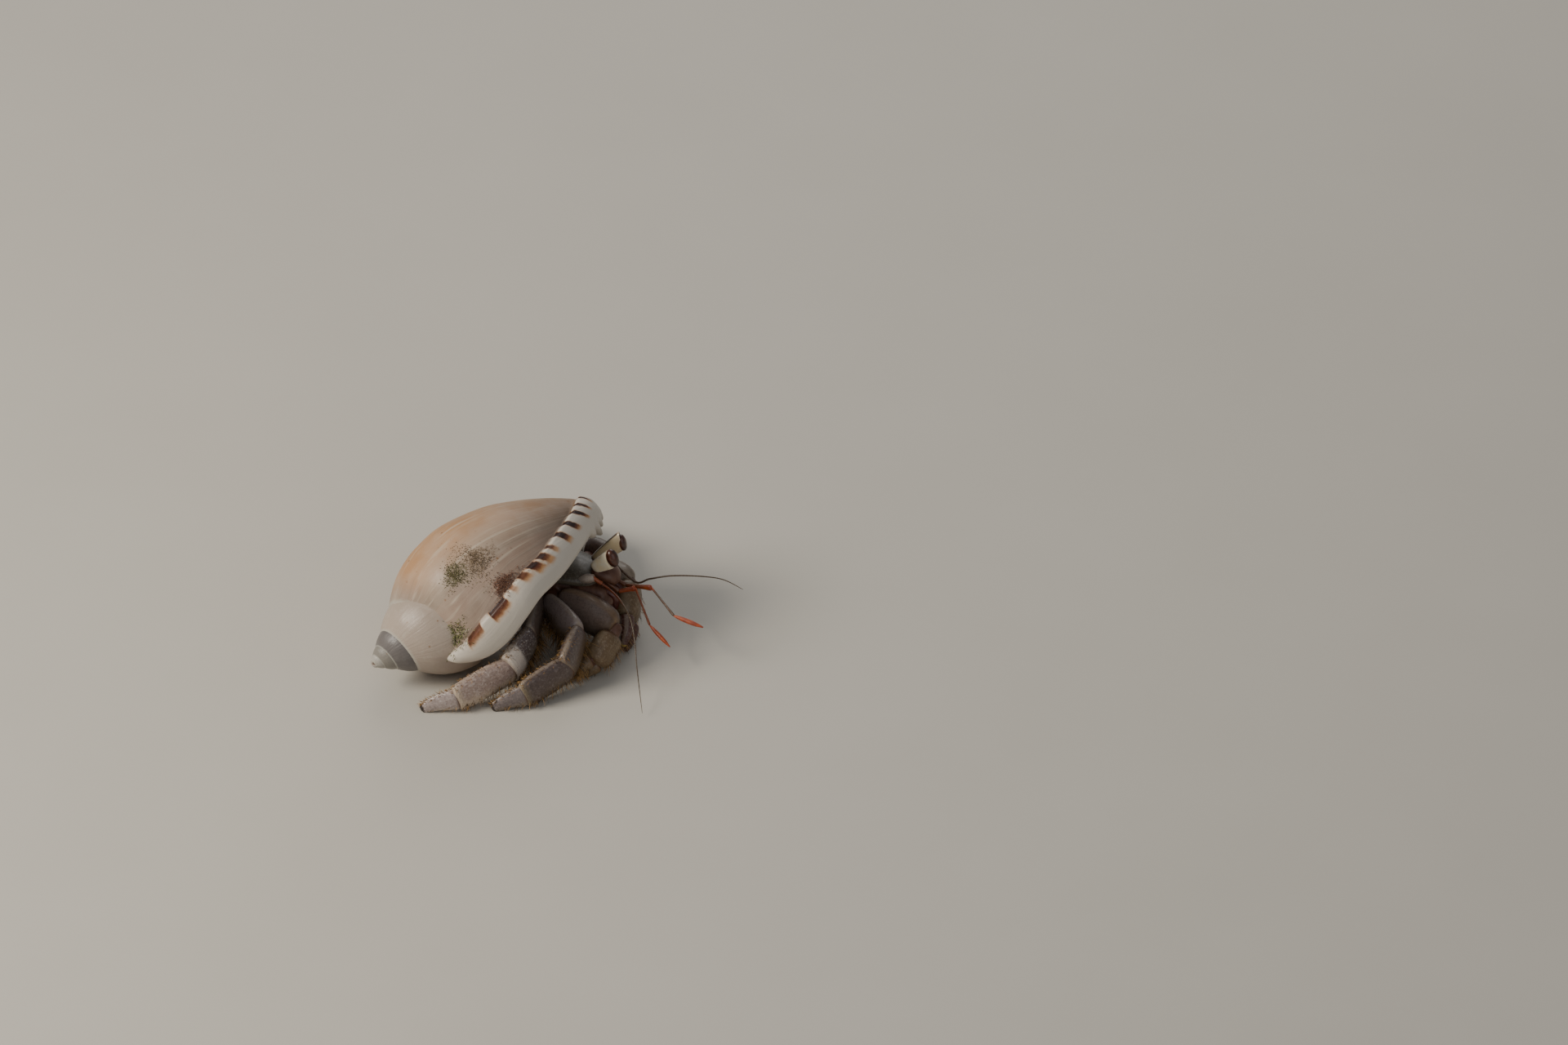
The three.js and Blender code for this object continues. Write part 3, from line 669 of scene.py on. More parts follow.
def limb(path, wide, thick, profile, rings=48, sides=40, square=2.2):
    """Rings of points along a path. wide and thick are half sizes at even places along it; profile
    lists (place along the path, share of the half size)."""
    path = [np.asarray(p, float) for p in path]
    steps = spline(profile, np.linspace(0, 1, rings))
    t, share = np.clip(steps[:, 0], 0, 1), np.maximum(steps[:, 1], 0.004)
    line = spline(path, t) if len(path) > 2 else mix(path[0], path[-1], t[:, None])
    tangent = unit(spline(path, np.minimum(t + 0.01, 1)) - spline(path, np.maximum(t - 0.01, 0)))
    across = unit(np.cross(tangent, (0.0, 0.0, 1.0)))
    rise = np.cross(across, tangent)

    def half_size(values):
        return spline([[v] for v in values], t)[:, 0] if len(values) > 2 else mix(values[0], values[-1], t)

    angle = np.linspace(0, 2 * math.pi, sides, endpoint=False)
    up = np.sign(np.cos(angle)) * np.abs(np.cos(angle)) ** (2 / square)
    side = np.sign(np.sin(angle)) * np.abs(np.sin(angle)) ** (2 / square)
    reach_up = (half_size(wide) * share)[:, None] * up[None, :]
    reach_side = (half_size(thick) * share)[:, None] * side[None, :]
    points = line[:, None] + rise[:, None] * reach_up[..., None] + across[:, None] * reach_side[..., None]
    values = {
        "along": np.repeat(t[:, None], sides, 1),
        "height": np.repeat(up[None, :], rings, 0),
        "around": np.repeat(angle[None, :] / (2 * math.pi), rings, 0),
    }
    return points, values


def surface_normals(points):
    """Outward normals of a ring grid."""
    along = np.gradient(points, axis=0)
    around = np.roll(points, -1, 1) - np.roll(points, 1, 1)
    normals = unit(np.cross(along, around))
    middle = points.mean(1, keepdims=True)
    return normals * np.sign(((points - middle) * normals).sum(-1).mean())


def limb_object(name, points, values):
    rows, columns = points.shape[:2]
    faces = grid_faces(rows, columns)
    faces.append(list(range(columns)))
    faces.append([(rows - 1) * columns + i for i in range(columns)])
    values = dict(values)
    for key in ("grain", "tint"):
        values.setdefault(key, np.zeros(points.shape[:2]))
    return outward(mesh_object(name, points.reshape(-1, 3), faces, values))


def grained(points, values, cell, height, seed=1):
    """Raises granules over a ring grid; cell is their length along and around, in mm."""
    normals = surface_normals(points)
    length = np.linalg.norm(np.diff(points, axis=0), axis=-1).mean(1).cumsum()
    length = np.concatenate([[0], length])[:, None]
    girth = np.linalg.norm(points - np.roll(points, 1, 1), axis=-1).sum(1).max()
    columns = max(6, round(girth / cell[1]))
    near, own = cells(length / cell[0] + 0 * values["around"], values["around"] * columns, columns, seed)
    where = smooth(0.06, 0.2, values["along"]) * smooth(0.99, 0.94, values["along"])
    grain = near * where * (0.4 + 0.6 * own)
    return points + normals * (grain * height)[..., None], dict(values, grain=grain)


# Profiles: (place along the piece, share of its half size).
PLATE = [
    (0.0, 0.05), (0.0, 0.5), (0.05, 0.74), (0.2, 0.91), (0.5, 1.0), (0.78, 1.0), (0.92, 0.93), (0.98, 0.8),
    (1.0, 0.62), (0.992, 0.4), (0.985, 0.05),
]
CLAW_TIP = [
    (0.0, 0.05), (0.0, 0.5), (0.04, 0.8), (0.15, 0.97), (0.4, 1.0), (0.7, 0.95), (0.88, 0.85), (0.97, 0.6),
    (1.0, 0.3), (1.0, 0.03),
]
ROUNDED = [
    (0.0, 0.03), (0.0, 0.35), (0.03, 0.6), (0.12, 0.86), (0.3, 0.98), (0.5, 1.0), (0.7, 0.98), (0.88, 0.86),
    (0.97, 0.6), (1.0, 0.35), (1.0, 0.03),
]
OVAL = [(0.5 - 0.5 * math.cos(angle), math.sin(angle)) for angle in np.linspace(0, math.pi, 15)]

# Half sizes of each plate, its granules' (length, width) and height, and the share that it starts
# inside the plate before it.
LEG_SHAPE = {
    "merus": {"wide": [2.8, 3.05], "thick": [1.3, 1.35], "grain": (0.5, 0.5), "raise": 0.02, "start": 0.0},
    "carpus": {"wide": [2.8, 3.4], "thick": [1.3, 1.4], "grain": (0.42, 0.42), "raise": 0.09, "start": 0.9},
    "propodus": {
        "wide": [2.65, 2.4], "thick": [1.15, 0.95], "grain": (0.32, 0.5), "raise": 0.14, "start": 0.9},
    "dactyl": {"wide": [1.95, 0.8], "thick": [0.9, 0.45], "grain": (0.36, 0.36), "raise": 0.09, "start": 0.6},
}
# Each walking leg by its joints: hip, knee, wrist, ankle and tip.
WALKING_LEGS = {
    "leg2_right": [
        (-5.7, -6.0, 7.2), (0.8, -11.7, 6.8), (0.5, -16.3, 4.2), (-4.3, -21.8, 2.1), (-8.4, -23.7, 0.4)],
    "leg3_right": [
        (-7.3, -4.8, 7.2), (-5.8, -14.2, 6.6), (-7.1, -19.4, 4.5), (-13.3, -25.4, 2.1), (-18.1, -26.9, 0.5)],
    "leg2_left": [
        (-5.2, 4.6, 7.4), (-6.2, 11.6, 6.6), (-7.6, 16.2, 4.2), (-11.6, 20.6, 1.9), (-16.4, 22.4, 0.5)],
    "leg3_left": [
        (-7.6, 4.0, 6.8), (-10.2, 10.6, 5.8), (-13.2, 14.4, 3.9), (-18.6, 17.4, 1.9), (-23.6, 18.0, 0.5)],
}

TILES = 6  # limbs in each row of the bristles' unwrap
FLOOR_GAP, SHORTEST_BRISTLE = 0.15, 0.3

bristle_roots = []  # (place, direction, length, patch on the unwrap) of each bristle


def on_floor(points):
    """Presses points that lie under the floor up to it."""
    points[..., 2] = np.maximum(points[..., 2], 0)
    return points


def plant(points, values, count, heights, lengths, tile, drop=0.5, spread=0.3):
    """Roots bristles on a limb between two heights of its section, all clear of the floor. The limb's
    unwrap lies in its own tile of the map."""
    normals = surface_normals(points)
    tangent = unit(np.gradient(points, axis=0))
    picks = np.argwhere((values["height"] >= heights[0]) & (values["height"] <= heights[1])
                        & (values["along"] > 0.15) & (values["along"] < 0.93))
    for row, column in picks[random.integers(0, len(picks), count)]:
        root = points[row, column]
        way = unit(normals[row, column] + tangent[row, column] * 0.6 + np.array([0, 0, -drop]))
        way = unit(way + random.normal(0, spread, 3))
        length = random.uniform(*lengths)
        if way[2] < 0:
            length = min(length, (root[2] - FLOOR_GAP) / (0.35 - way[2]))
        if length > SHORTEST_BRISTLE:
            patch = ((tile % TILES + values["around"][row, column]) / TILES,
                     (tile // TILES + values["along"][row, column]) / TILES)
            bristle_roots.append((root, way, length, patch))


def make_legs(front_leg_light_and_shade, hind_leg_light_and_shade):
    for index, (leg, joints) in enumerate(WALKING_LEGS.items()):
        # Both legs have one skin; the two sets of finishes are lit and shaded copies of it, painted light and
        # shade.
        finishes = front_leg_light_and_shade if leg.startswith("leg2") else hind_leg_light_and_shade
        for part, (name, shape) in enumerate(LEG_SHAPE.items()):
            tip = name == "dactyl"
            start, end = np.array(joints[part]), np.array(joints[part + 1])
            start = start - unit(end - start) * shape["start"]
            path = [start, mix(start, end, 0.5) + [0, 0, 0.25 if tip else 0.15], end]
            points, values = limb(path, shape["wide"], shape["thick"], CLAW_TIP if tip else PLATE,
                                  rings=100, sides=80, square=2.15)
            points, values = grained(points, values, shape["grain"], shape["raise"], seed=index + part)
            tile = index * 4 + part
            if name == "merus":
                plant(points, values, 560, (-1.0, -0.3), (0.9, 3.2), tile)
            else:
                count = {"carpus": 520, "propodus": 170, "dactyl": 50}[name]
                plant(points, values, count, (-1.0, -0.4), (0.8, 2.7 if name == "carpus" else 1.9), tile)
                plant(points, values, 110, (0.8, 1.0), (0.25, 0.7), tile, drop=0.0)
            node = f"{leg}_{name}"
            dress(limb_object(node + "_plate", on_floor(points), values), finishes[name], "leg", node)


CHELIPEDS = {
    "right": {
        "merus": {"path": [(-2.8, -3.2, 6.6), (-1.2, -4.6, 6.8)], "wide": [1.6, 1.9], "thick": [1.5, 1.8]},
        "carpus": {"path": [(-4.4, -4.4, 7.7), (0.2, -5.5, 6.9), (4.9, -6.9, 5.9)], "wide": [2.2, 2.9, 2.85],
                   "thick": [1.7, 2.1, 2.3]},
        "palm": {"path": [(4.8, -7.5, 5.4), (3.2, -11.2, 2.1)], "wide": [2.6, 2.5], "thick": [1.7, 1.8]},
        "fixed": {"path": [(3.6, -10.6, 1.9), (1.4, -12.0, 0.8), (-0.6, -12.6, 0.2)], "wide": [1.3, 0.45],
                  "thick": [1.3, 0.4]},
        "finger": {"path": [(3.0, -11.9, 3.2), (0.9, -13.2, 2.2), (-0.6, -13.6, 0.9)], "wide": [1.2, 0.45],
                   "thick": [1.1, 0.4]},
    },
    "left": {
        "merus": {"path": [(-4.0, 7.9, 8.4), (0.3, 6.5, 7.8)], "wide": [2.4, 2.5], "thick": [1.5, 1.8]},
        "carpus": {"path": [(-0.2, 5.5, 6.6), (3.6, 3.7, 6.1)], "wide": [2.4, 2.5], "thick": [2.2, 2.3]},
        "palm": {"path": [(3.6, 4.2, 6.2), (4.6, -1.0, 2.9)], "wide": [2.8, 2.9], "thick": [2.0, 2.1]},
        "fixed": {"path": [(5.2, -0.6, 2.2), (5.6, -2.6, 1.1), (5.4, -4.2, 0.15)], "wide": [1.6, 0.5],
                  "thick": [1.5, 0.45]},
        "finger": {"path": [(5.0, -1.6, 4.4), (5.6, -3.6, 3.2), (5.5, -4.9, 1.4)], "wide": [1.4, 0.5],
                   "thick": [1.3, 0.45]},
    },
}


def make_chelipeds(finishes):
    for index, (side, parts) in enumerate(CHELIPEDS.items()):
        made = {}
        for part, (name, shape) in enumerate(parts.items()):
            profile = CLAW_TIP if name in ("fixed", "finger") else ROUNDED
            points, values = limb(shape["path"], shape["wide"], shape["thick"], profile, rings=110, sides=90)
            height = {"merus": 0.01, "carpus": 0.012}.get(name, 0.045)
            points, values = grained(points, values, (0.34, 0.36), height, seed=part + 11)
            if name != "merus":
                plant(points, values, 140, (-1.0, -0.3), (0.5, 1.8), 16 + index * 5 + part)
            values["tint"] = np.full(values["along"].shape, float(side == "left" and name == "fixed"))
            made[name] = limb_object(f"cheliped_{side}_{name}_plate", on_floor(points), values)
        palm = joined(f"cheliped_{side}_palm_plate", [made["palm"], made["fixed"]])
        dress(palm, finishes["palm"], "claw", f"cheliped_{side}_palm")
        near = side == "right"
        dress(made["finger"], finishes["palm" if near else "finger"], "claw", f"cheliped_{side}_finger")
        carpus_finish = finishes["dome" if near else "russet_carpus"]
        dress(made["carpus"], carpus_finish, "claw", f"cheliped_{side}_carpus")
        dress(made["merus"], finishes["olive"], "claw", f"cheliped_{side}_merus")


# ------------------------------------------------------------------ head

def make_shield(finish):
    path = [(-9.4, 0, 10.2), (-4.5, 0, 10.25), (0.6, 0, 9.7)]
    points, values = limb(path, [1.1, 1.15, 1.0], [4.2, 4.0, 3.2], ROUNDED, rings=90, sides=96, square=2.5)
    points, values = grained(points, values, (0.5, 0.55), 0.05, seed=31)
    dress(limb_object("shield_plate", points, values), finish, "shield", "shield")


def mirror(points, side):
    return [(x, -y if side == "right" else y, z) for x, y, z in points]


EYES = {
    "right": {
        "stalk": [(-0.2, -1.05, 11.5), (2.75, -1.9, 14.3)],
        "cornea": [(3.47, -2.1, 13.2), (2.43, -1.8, 15.8)],
        "depth": 0.92,
    },
    "left": {
        "stalk": [(-0.7, 0.9, 11.4), (3.12, 2.0, 15.0)],
        "cornea": [(3.5, 2.07, 13.3), (2.92, 1.93, 15.9)],
        "depth": 0.62,
    },
}
STALK_END = [(0.0, 0.03), (0.0, 0.45), (0.04, 0.75), (0.2, 0.93), (0.6, 1.0), (0.9, 0.99), (0.985, 0.95),
             (1.0, 0.87), (0.99, 0.78), (0.98, 0.03)]


def make_eyes(stalk_finish, cornea_finish):
    for side, eye in EYES.items():
        points, values = limb(eye["stalk"], [0.95, 1.42], [0.55, 0.72], STALK_END,
                              rings=80, sides=64, square=2.5)
        # The end slants so that the cornea's back lies flat on it.
        stalk_way, cornea_way = (unit(np.subtract(*eye[key][::-1])) for key in ("stalk", "cornea"))
        cosine = np.dot(stalk_way, cornea_way)
        rise_way = unit(cornea_way - stalk_way * cosine)
        rise = ((points - points.mean(1, keepdims=True)) * rise_way).sum(-1)
        slant = cosine / math.sqrt(1 - cosine**2) * rise * values["along"] ** 3
        points = points + stalk_way * slant[..., None]
        values["tint"] = np.full(values["along"].shape, float(side == "left"))
        node = f"eyestalk_{side}"
        dress(limb_object(node + "_plate", points, values), stalk_finish, "eyestalk", node)
        path = [np.add(place, stalk_way * 0.12) for place in eye["cornea"]]
        points, values = limb(path, [eye["depth"]] * 2, [0.88, 0.88], OVAL, rings=56, sides=56, square=2.0)
        dress(limb_object(f"cornea_{side}_lens", points, values), cornea_finish, "eye", f"cornea_{side}")


ANTENNULES = {
    "right": {"base": [(0.9, -0.75, 9.9), (3.6, -0.9, 8.1), (6.0, -0.4, 8.8), (9.5, -4.8, 6.0)],
              "flagellum": [(9.5, -4.8, 6.0), (13.1, -6.5, 4.0)], "girth": [0.2, 0.3]},
    "left": {"base": [(0.9, 0.75, 9.9), (4.2, 0.6, 8.3), (8.3, 0.1, 9.0), (12.8, -3.6, 7.5)],
             "flagellum": [(12.8, -3.6, 7.5), (17.4, -4.2, 6.8)], "girth": [0.24, 0.34]},
}
ANTENNAE = {
    "right": [(1.5, -2.9, 10.5), (2.9, -3.2, 9.9), (5.2, -5.0, 9.5), (7.5, -7.6, 8.5), (8.8, -9.8, 6.5),
              (10.0, -12.6, 4.0), (12.8, -19.0, 0.8)],
    "left": [(1.5, 2.9, 10.4), (5.2, 2.1, 8.1), (7.4, 2.2, 9.0), (10.6, 2.5, 10.0), (14.7, 3.6, 10.0),
             (17.7, 4.8, 9.2), (20.6, 4.9, 8.0)],
}
STALK = [
    (0.0, 0.05), (0.0, 0.6), (0.06, 0.8), (0.3, 0.78), (0.7, 0.84), (0.92, 1.0), (0.98, 0.85), (1.0, 0.5),
    (1.0, 0.03),
]


def ringed(points, values, count, depth):
    """Rings of a feeler, as shallow waves along it."""
    wave = 1 + depth * np.cos(values["along"] * 2 * math.pi * count)
    middle = points.mean(1, keepdims=True)
    return middle + (points - middle) * wave[..., None]


def make_feelers(finishes):
    for side in ("right", "left"):
        shape = ANTENNULES[side]
        pieces = []
        for part, size in enumerate((0.38, 0.37, 0.21)):
            path = shape["base"][part:part + 2]
            wide = [size, size * (1.3 if part == 1 else 1)]
            points, values = limb(path, wide, [size * 0.9] * 2, STALK, rings=36, sides=20, square=2.0)
            along = values["along"]
            warmths = [
                0.22 + 0 * along,
                mix(0.75 if side == "right" else 0.3, 1.0, along ** 2),
                mix(1.0, 0.45 if side == "right" else 0.1, smooth(0, 0.2, along)),
            ]
            values["warm"] = warmths[part]
            pieces.append(limb_object(f"part_{part}", points, values))
        dress(joined(f"antennule_{side}_stalk", pieces), finishes["feeler"], "antennule", f"antennule_{side}")
        thin, full = shape["girth"]
        blade = [thin, full, full, thin * 0.8]
        points, values = limb(shape["flagellum"], blade, blade, ROUNDED, rings=160, sides=20, square=2.0)
        points = ringed(points, values, 20, 0.05)
        values["warm"] = np.full(values["along"].shape, 1.0)
        dress(limb_object(f"antennule_{side}_lash", points, values), finishes["feeler"], "antennule",
              f"antennule_{side}_flagellum")
        girth = [0.24, 0.17, 0.13, 0.11, 0.09, 0.07]
        points, values = limb(ANTENNAE[side], girth, girth, ROUNDED, rings=520, sides=14, square=2.0)
        points = ringed(points, values, 60, 0.07)
        values["warm"] = smooth(0.42, 0.25, values["along"]) * (0.5 if side == "right" else 0.05)
        dress(limb_object(f"antenna_{side}_lash", points, values), finishes["feeler"], "antenna",
              f"antenna_{side}_flagellum")
        base = mirror([(-1.8, 2.7, 10.2), (-0.6, 2.9, 10.8), (0.6, 2.9, 11.2)], side)
        points, values = limb(base, [0.45, 0.7, 0.6], [0.45, 0.6, 0.45], PLATE, rings=60, sides=40)
        plate = limb_object("plate", points, values)
        joint = mirror([(0.3, 2.9, 11.2), (1.7, 2.9, 10.4)], side)
        points, values = limb(joint, [0.42, 0.3], [0.4, 0.3], STALK, rings=30, sides=20, square=2.0)
        values["tint"] = np.ones(values["along"].shape)
        base = joined(f"antenna_{side}_base", [plate, limb_object("joint", points, values)])
        dress(base, finishes["pale"], "antenna", f"antenna_{side}")
        jaw = mirror([(0.2, 1.3, 8.4), (2.9, 1.3, 7.2), (3.2, 1.0, 4.6)], side)
        points, values = limb(jaw, [0.8, 0.75, 0.5], [0.7, 0.6, 0.5], ROUNDED, rings=60, sides=32)
        dress(limb_object(f"maxilliped_{side}_plate", points, values), finishes["russet"], "soft_body",
              f"maxilliped_{side}")
        back = mirror([(-7.6, 3.6, 9.4), (-9.2, 4.6, 8.6)], side)
        points, values = limb(back, [0.9, 0.7], [0.8, 0.6], ROUNDED, rings=40, sides=28)
        dress(limb_object(f"leg4_{side}_plate", points, values), finishes["leg"], "leg", f"leg4_{side}")


def cornea_finish():
    finish, tree, shader = finish_named(
        "dark_cornea", IOR=1.45, Coat_Weight=0.5, Coat_Roughness=0.06, Roughness=0.3)
    blotch, _, _ = skin_grain(tree, 0.8)
    colour = blend(tree, between(tree, blotch, 0.35, 0.7), (0.030, 0.008, 0.004), (0.085, 0.022, 0.009))
    facets = bump(tree, dots_of(tree, 0.05), 0.003)
    wire(tree, shader, Base_Color=colour, Normal=facets)
    return finish


def eyestalk_finish():
    finish, tree, shader = finish_named("cream_eyestalk", Coat_Weight=0.5, Coat_Roughness=0.12)
    height, along = attribute(tree, "height"), attribute(tree, "along")
    blotch, fine, _ = skin_grain(tree, 1.1)
    # The stalk's cream, raised towards white partly as painted light.
    cream = blend(tree, between(tree, blotch, 0.35, 0.65), (0.92, 0.79, 0.54), (0.95, 0.88, 0.70))
    # The far one is the browner.
    cream = blend(tree, sums(tree, "MULTIPLY", attribute(tree, "tint"), 0.8), cream, (0.42, 0.32, 0.18))
    cream = blend(tree, between(tree, along, 0.26, 0.05, 0.0, 0.5), cream, (0.27, 0.19, 0.11))
    edge = sums(tree, "ADD", sums(tree, "ABSOLUTE", height), sums(tree, "MULTIPLY", fine, 0.08))
    colour = blend(tree, between(tree, edge, 0.96, 1.03, 0.0, 0.95), cream, (0.03, 0.012, 0.008))
    colour = blend(tree, between(tree, along, 0.13, 0.03, 0.0, 0.9), colour, (0.06, 0.018, 0.01))
    colour = blend(tree, between(tree, along, 0.93, 0.98, 0.0, 0.8), colour, (0.62, 0.50, 0.36))
    wire(tree, shader, Base_Color=colour, Roughness=between(tree, fine, 0.3, 0.7, 0.28, 0.42),
         Normal=bump(tree, fine, 0.012))
    return finish


def feeler_finish():
    """Bright orange where the feeler is warm, dark olive-brown where it is not, with fine rings."""
    finish, tree, shader = finish_named("ringed_feeler", Coat_Weight=0.4, Coat_Roughness=0.1)
    along, warm = attribute(tree, "along"), attribute(tree, "warm")
    blotch, fine, _ = skin_grain(tree, 0.9)
    ring = sums(tree, "PINGPONG", sums(tree, "MULTIPLY", along, 90.0), 1.0)
    orange = blend(tree, between(tree, blotch, 0.35, 0.65), (0.30, 0.040, 0.009), (0.50, 0.085, 0.014))
    olive = blend(tree, fine, (0.052, 0.029, 0.011), (0.10, 0.060, 0.024))
    colour = blend(tree, warm, olive, orange)
    colour = blend(tree, between(tree, ring, 0.5, 1.0, 0.0, 0.5), colour, (0.06, 0.025, 0.01))
    wire(tree, shader, Base_Color=colour, Roughness=between(tree, ring, 0.0, 1.0, 0.3, 0.45))
    return finish


# ------------------------------------------------------------------ soft body

def make_soft_body(finish):
    """One skin for thorax, leg bases, joint membranes and the abdomen inside the shell."""
    pieces = []

    def lump(path, wide, thick):
        points, values = limb(path, wide, thick, ROUNDED, rings=24, sides=20, square=2.0)
        pieces.append(limb_object("lump", points, values))

    lump([(-11, 0.3, 10.0), (-5, 0, 8.4), (-0.4, 0, 7.8)], [2.4, 2.3, 2.2], [3.6, 3.5, 3.2])
    lump([(-2.6, 2.2, 7.6), (-3.2, 6.6, 7.8)], [1.7, 1.7], [1.5, 1.5])
    lump([(-3.0, -2.4, 8.4), (2.3, -2.5, 8.1)], [1.5, 1.3], [1.5, 1.2])
    lump([(0.0, -2.5, 7.6), (3.3, -3.1, 7.2)], [1.3, 1.0], [1.2, 1.0])
    lump([(-2.5, -0.6, 8.5), (1.5, -0.6, 8.4)], [1.6, 1.5], [1.7, 1.5])
    lump([(-0.5, 0, 11.0), (2.2, 0, 10.3), (3.0, 0, 9.0)], [1.3, 1.2, 0.8], [2.3, 1.9, 1.2])
    for joints in WALKING_LEGS.values():
        hip = joints[0]
        lump([(hip[0] + 0.4, hip[1] * 0.35, hip[2]), (hip[0], hip[1] * 1.1, hip[2])], [1.6, 1.5], [1.4, 1.2])
        for number, shape in enumerate(list(LEG_SHAPE.values())[:3], start=1):
            joint, before, after = (np.array(joints[number + k]) for k in (0, -1, 1))
            lump([joint + unit(before - joint) * 0.9, joint, joint + unit(after - joint) * 0.9],
                 [shape["wide"][1] * 0.62] * 2, [shape["thick"][1] * 0.62] * 2)
    for parts in CHELIPEDS.values():
        for first, second in (("merus", "carpus"), ("carpus", "palm"), ("palm", "finger")):
            a, b = np.array(parts[first]["path"][-1]), np.array(parts[second]["path"][0])
            size = 0.42 * min(parts[first]["wide"][-1], parts[second]["wide"][0])
            way = unit(b - a + 1e-6)
            lump([a - way * 0.8, b + way * 0.8], [size, size], [size, size])
    body = joined("soft_body", pieces)
    apply_modifier(body, "REMESH", mode="VOXEL", voxel_size=0.2 * MM)
    apply_modifier(body, "SMOOTH", factor=0.5, iterations=4)
    body = joined("soft_body", [body, make_abdomen()])
    body.data.shade_smooth()
    dress(body, finish, "soft_body", "thorax", "abdomen")


def make_abdomen():
    """The coiled abdomen, a little inside the shell's wall, bulging at the opening."""
    turns = np.linspace(-300, -16, 40)
    turn, place = np.meshgrid(turns, np.linspace(0.12, 0.9, 40), indexing="ij")
    outer, _ = whorl_point(turn, place, -SHELL_WALL - 0.45 + 0 * turn)
    ends = whorl(turn, place)[1]
    along = mix(ends[:, -1:], ends[:, :1], np.linspace(0, 1, 12)[None, :])
    inner = shell_point(np.repeat(turns[:, None], 12, 1), np.full(along.shape, 2.3), along)
    rings = np.concatenate([outer, inner], 1)
    rows, columns = rings.shape[:2]
    faces = grid_faces(rows, columns)
    faces += [list(range(columns)), [(rows - 1) * columns + i for i in range(columns)]]
    return outward(mesh_object("abdomen_skin", rings.reshape(-1, 3), faces))


# ------------------------------------------------------------------ bristles and algae

def make_spikes(name, roots, girth, droop):
    """Thin curved spikes, one for each (place, direction, length, patch on the unwrap)."""
    points, faces, patches, tone = [], [], [], []
    for root, way, length, patch in roots:
        side = unit(np.cross(way, (0.3, 0.5, 0.81)))
        other = np.cross(way, side)
        bend = unit(way + np.array([0, 0, -droop]))
        start = len(points)
        shade = random.random()
        for step, size in ((0.0, 1.0), (0.45, 0.8), (0.8, 0.45)):
            middle = root + mix(way, bend, step) * length * step - way * 0.08 * (step == 0)
            for k in range(3):
                angle = 2 * math.pi * k / 3
                points.append(middle + (side * math.cos(angle) + other * math.sin(angle)) * size * girth)
        points.append(root + bend * length)
        for level in (0, 3):
            for k in range(3):
                a, b = start + level + k, start + level + (k + 1) % 3
                faces.append([a, b, b + 3, a + 3])
        faces += [[start + 6 + k, start + 6 + (k + 1) % 3, start + 9] for k in range(3)]
        faces.append([start + 2, start + 1, start])
        patches += [patch] * 10
        tone += [shade] * 10
    obj = mesh_object(name, np.array(points), faces, {"tone": tone})
    layer = obj.data.uv_layers.new(name="OFBake")
    corners = np.zeros(len(obj.data.loops), int)
    obj.data.loops.foreach_get("vertex_index", corners)
    offsets = np.stack([(corners % 10) // 3 * 0.001, corners % 3 * 0.001], 1)
    layer.data.foreach_set("uv", (np.array(patches)[corners] * 0.99 + offsets).astype(np.float32).ravel())
    return obj


# Tufts of algae on the last whorl: name, turn and place, spread in mm, blades, lengths.
ALGAE_TUFTS = [
    ("brown_algae", -61.5, 0.405, (4.2, 2.2), 1300, (0.08, 0.30)),
    ("olive_algae", -64.0, 0.310, (2.6, 2.6), 1000, (0.08, 0.34)),
    ("red_algae", -30.5, 0.415, (1.9, 2.4), 1000, (0.10, 0.38)),
    ("green_algae", -29.5, 0.066, (1.9, 4.4), 1500, (0.15, 0.6)),
]


def make_algae(finishes):
    """Short blades that stand on the shell in ragged tufts."""
    for name, turn, place, (wide, tall), count, lengths in ALGAE_TUFTS:
        _, radius = whorl_point(np.array([turn]), np.array([place]), np.zeros(1))
        spots = random.normal(0, 0.5, (count, 2))
        ragged = 0.75 + 0.25 * np.sin(3 * np.arctan2(spots[:, 1], spots[:, 0]) + place * 40)
        turns = turn + np.degrees(spots[:, 0] * wide * ragged / radius[0])
        places = np.clip(place + spots[:, 1] * tall * ragged / RIM_LENGTH, 0.015, 1)
        lift = lip_raise(places, radius[0] * np.radians(-turns))
        roots, _ = whorl_point(turns, places, lift - 0.04)
        above, _ = whorl_point(turns, places, lift + 1.0)
        ways = unit(unit(above - roots) + random.normal(0, 0.45, roots.shape))
        sizes = random.uniform(*lengths, count)
        patches = np.stack([places, 1 + turns / 360], 1)
        dress(make_spikes(name, list(zip(roots, ways, sizes, patches)), 0.055, 0.1), finishes[name], "shell")


def spike_finish(name, dark, light, rough=0.35, coat=0.2):
    finish, tree, shader = finish_named(name, Roughness=rough, Coat_Weight=coat)
    tone = attribute(tree, "tone")
    wire(tree, shader, Base_Color=blend(tree, between(tree, tone, 0.1, 0.9), dark, light))
    return finish


# ------------------------------------------------------------------ the model

make_camera()
make_studio()
make_skin_grain()

glazed = shell_finish()
dress(make_shell_mesh(), glazed, "shell", "shell")
dress(make_pillar(), glazed, "shell")
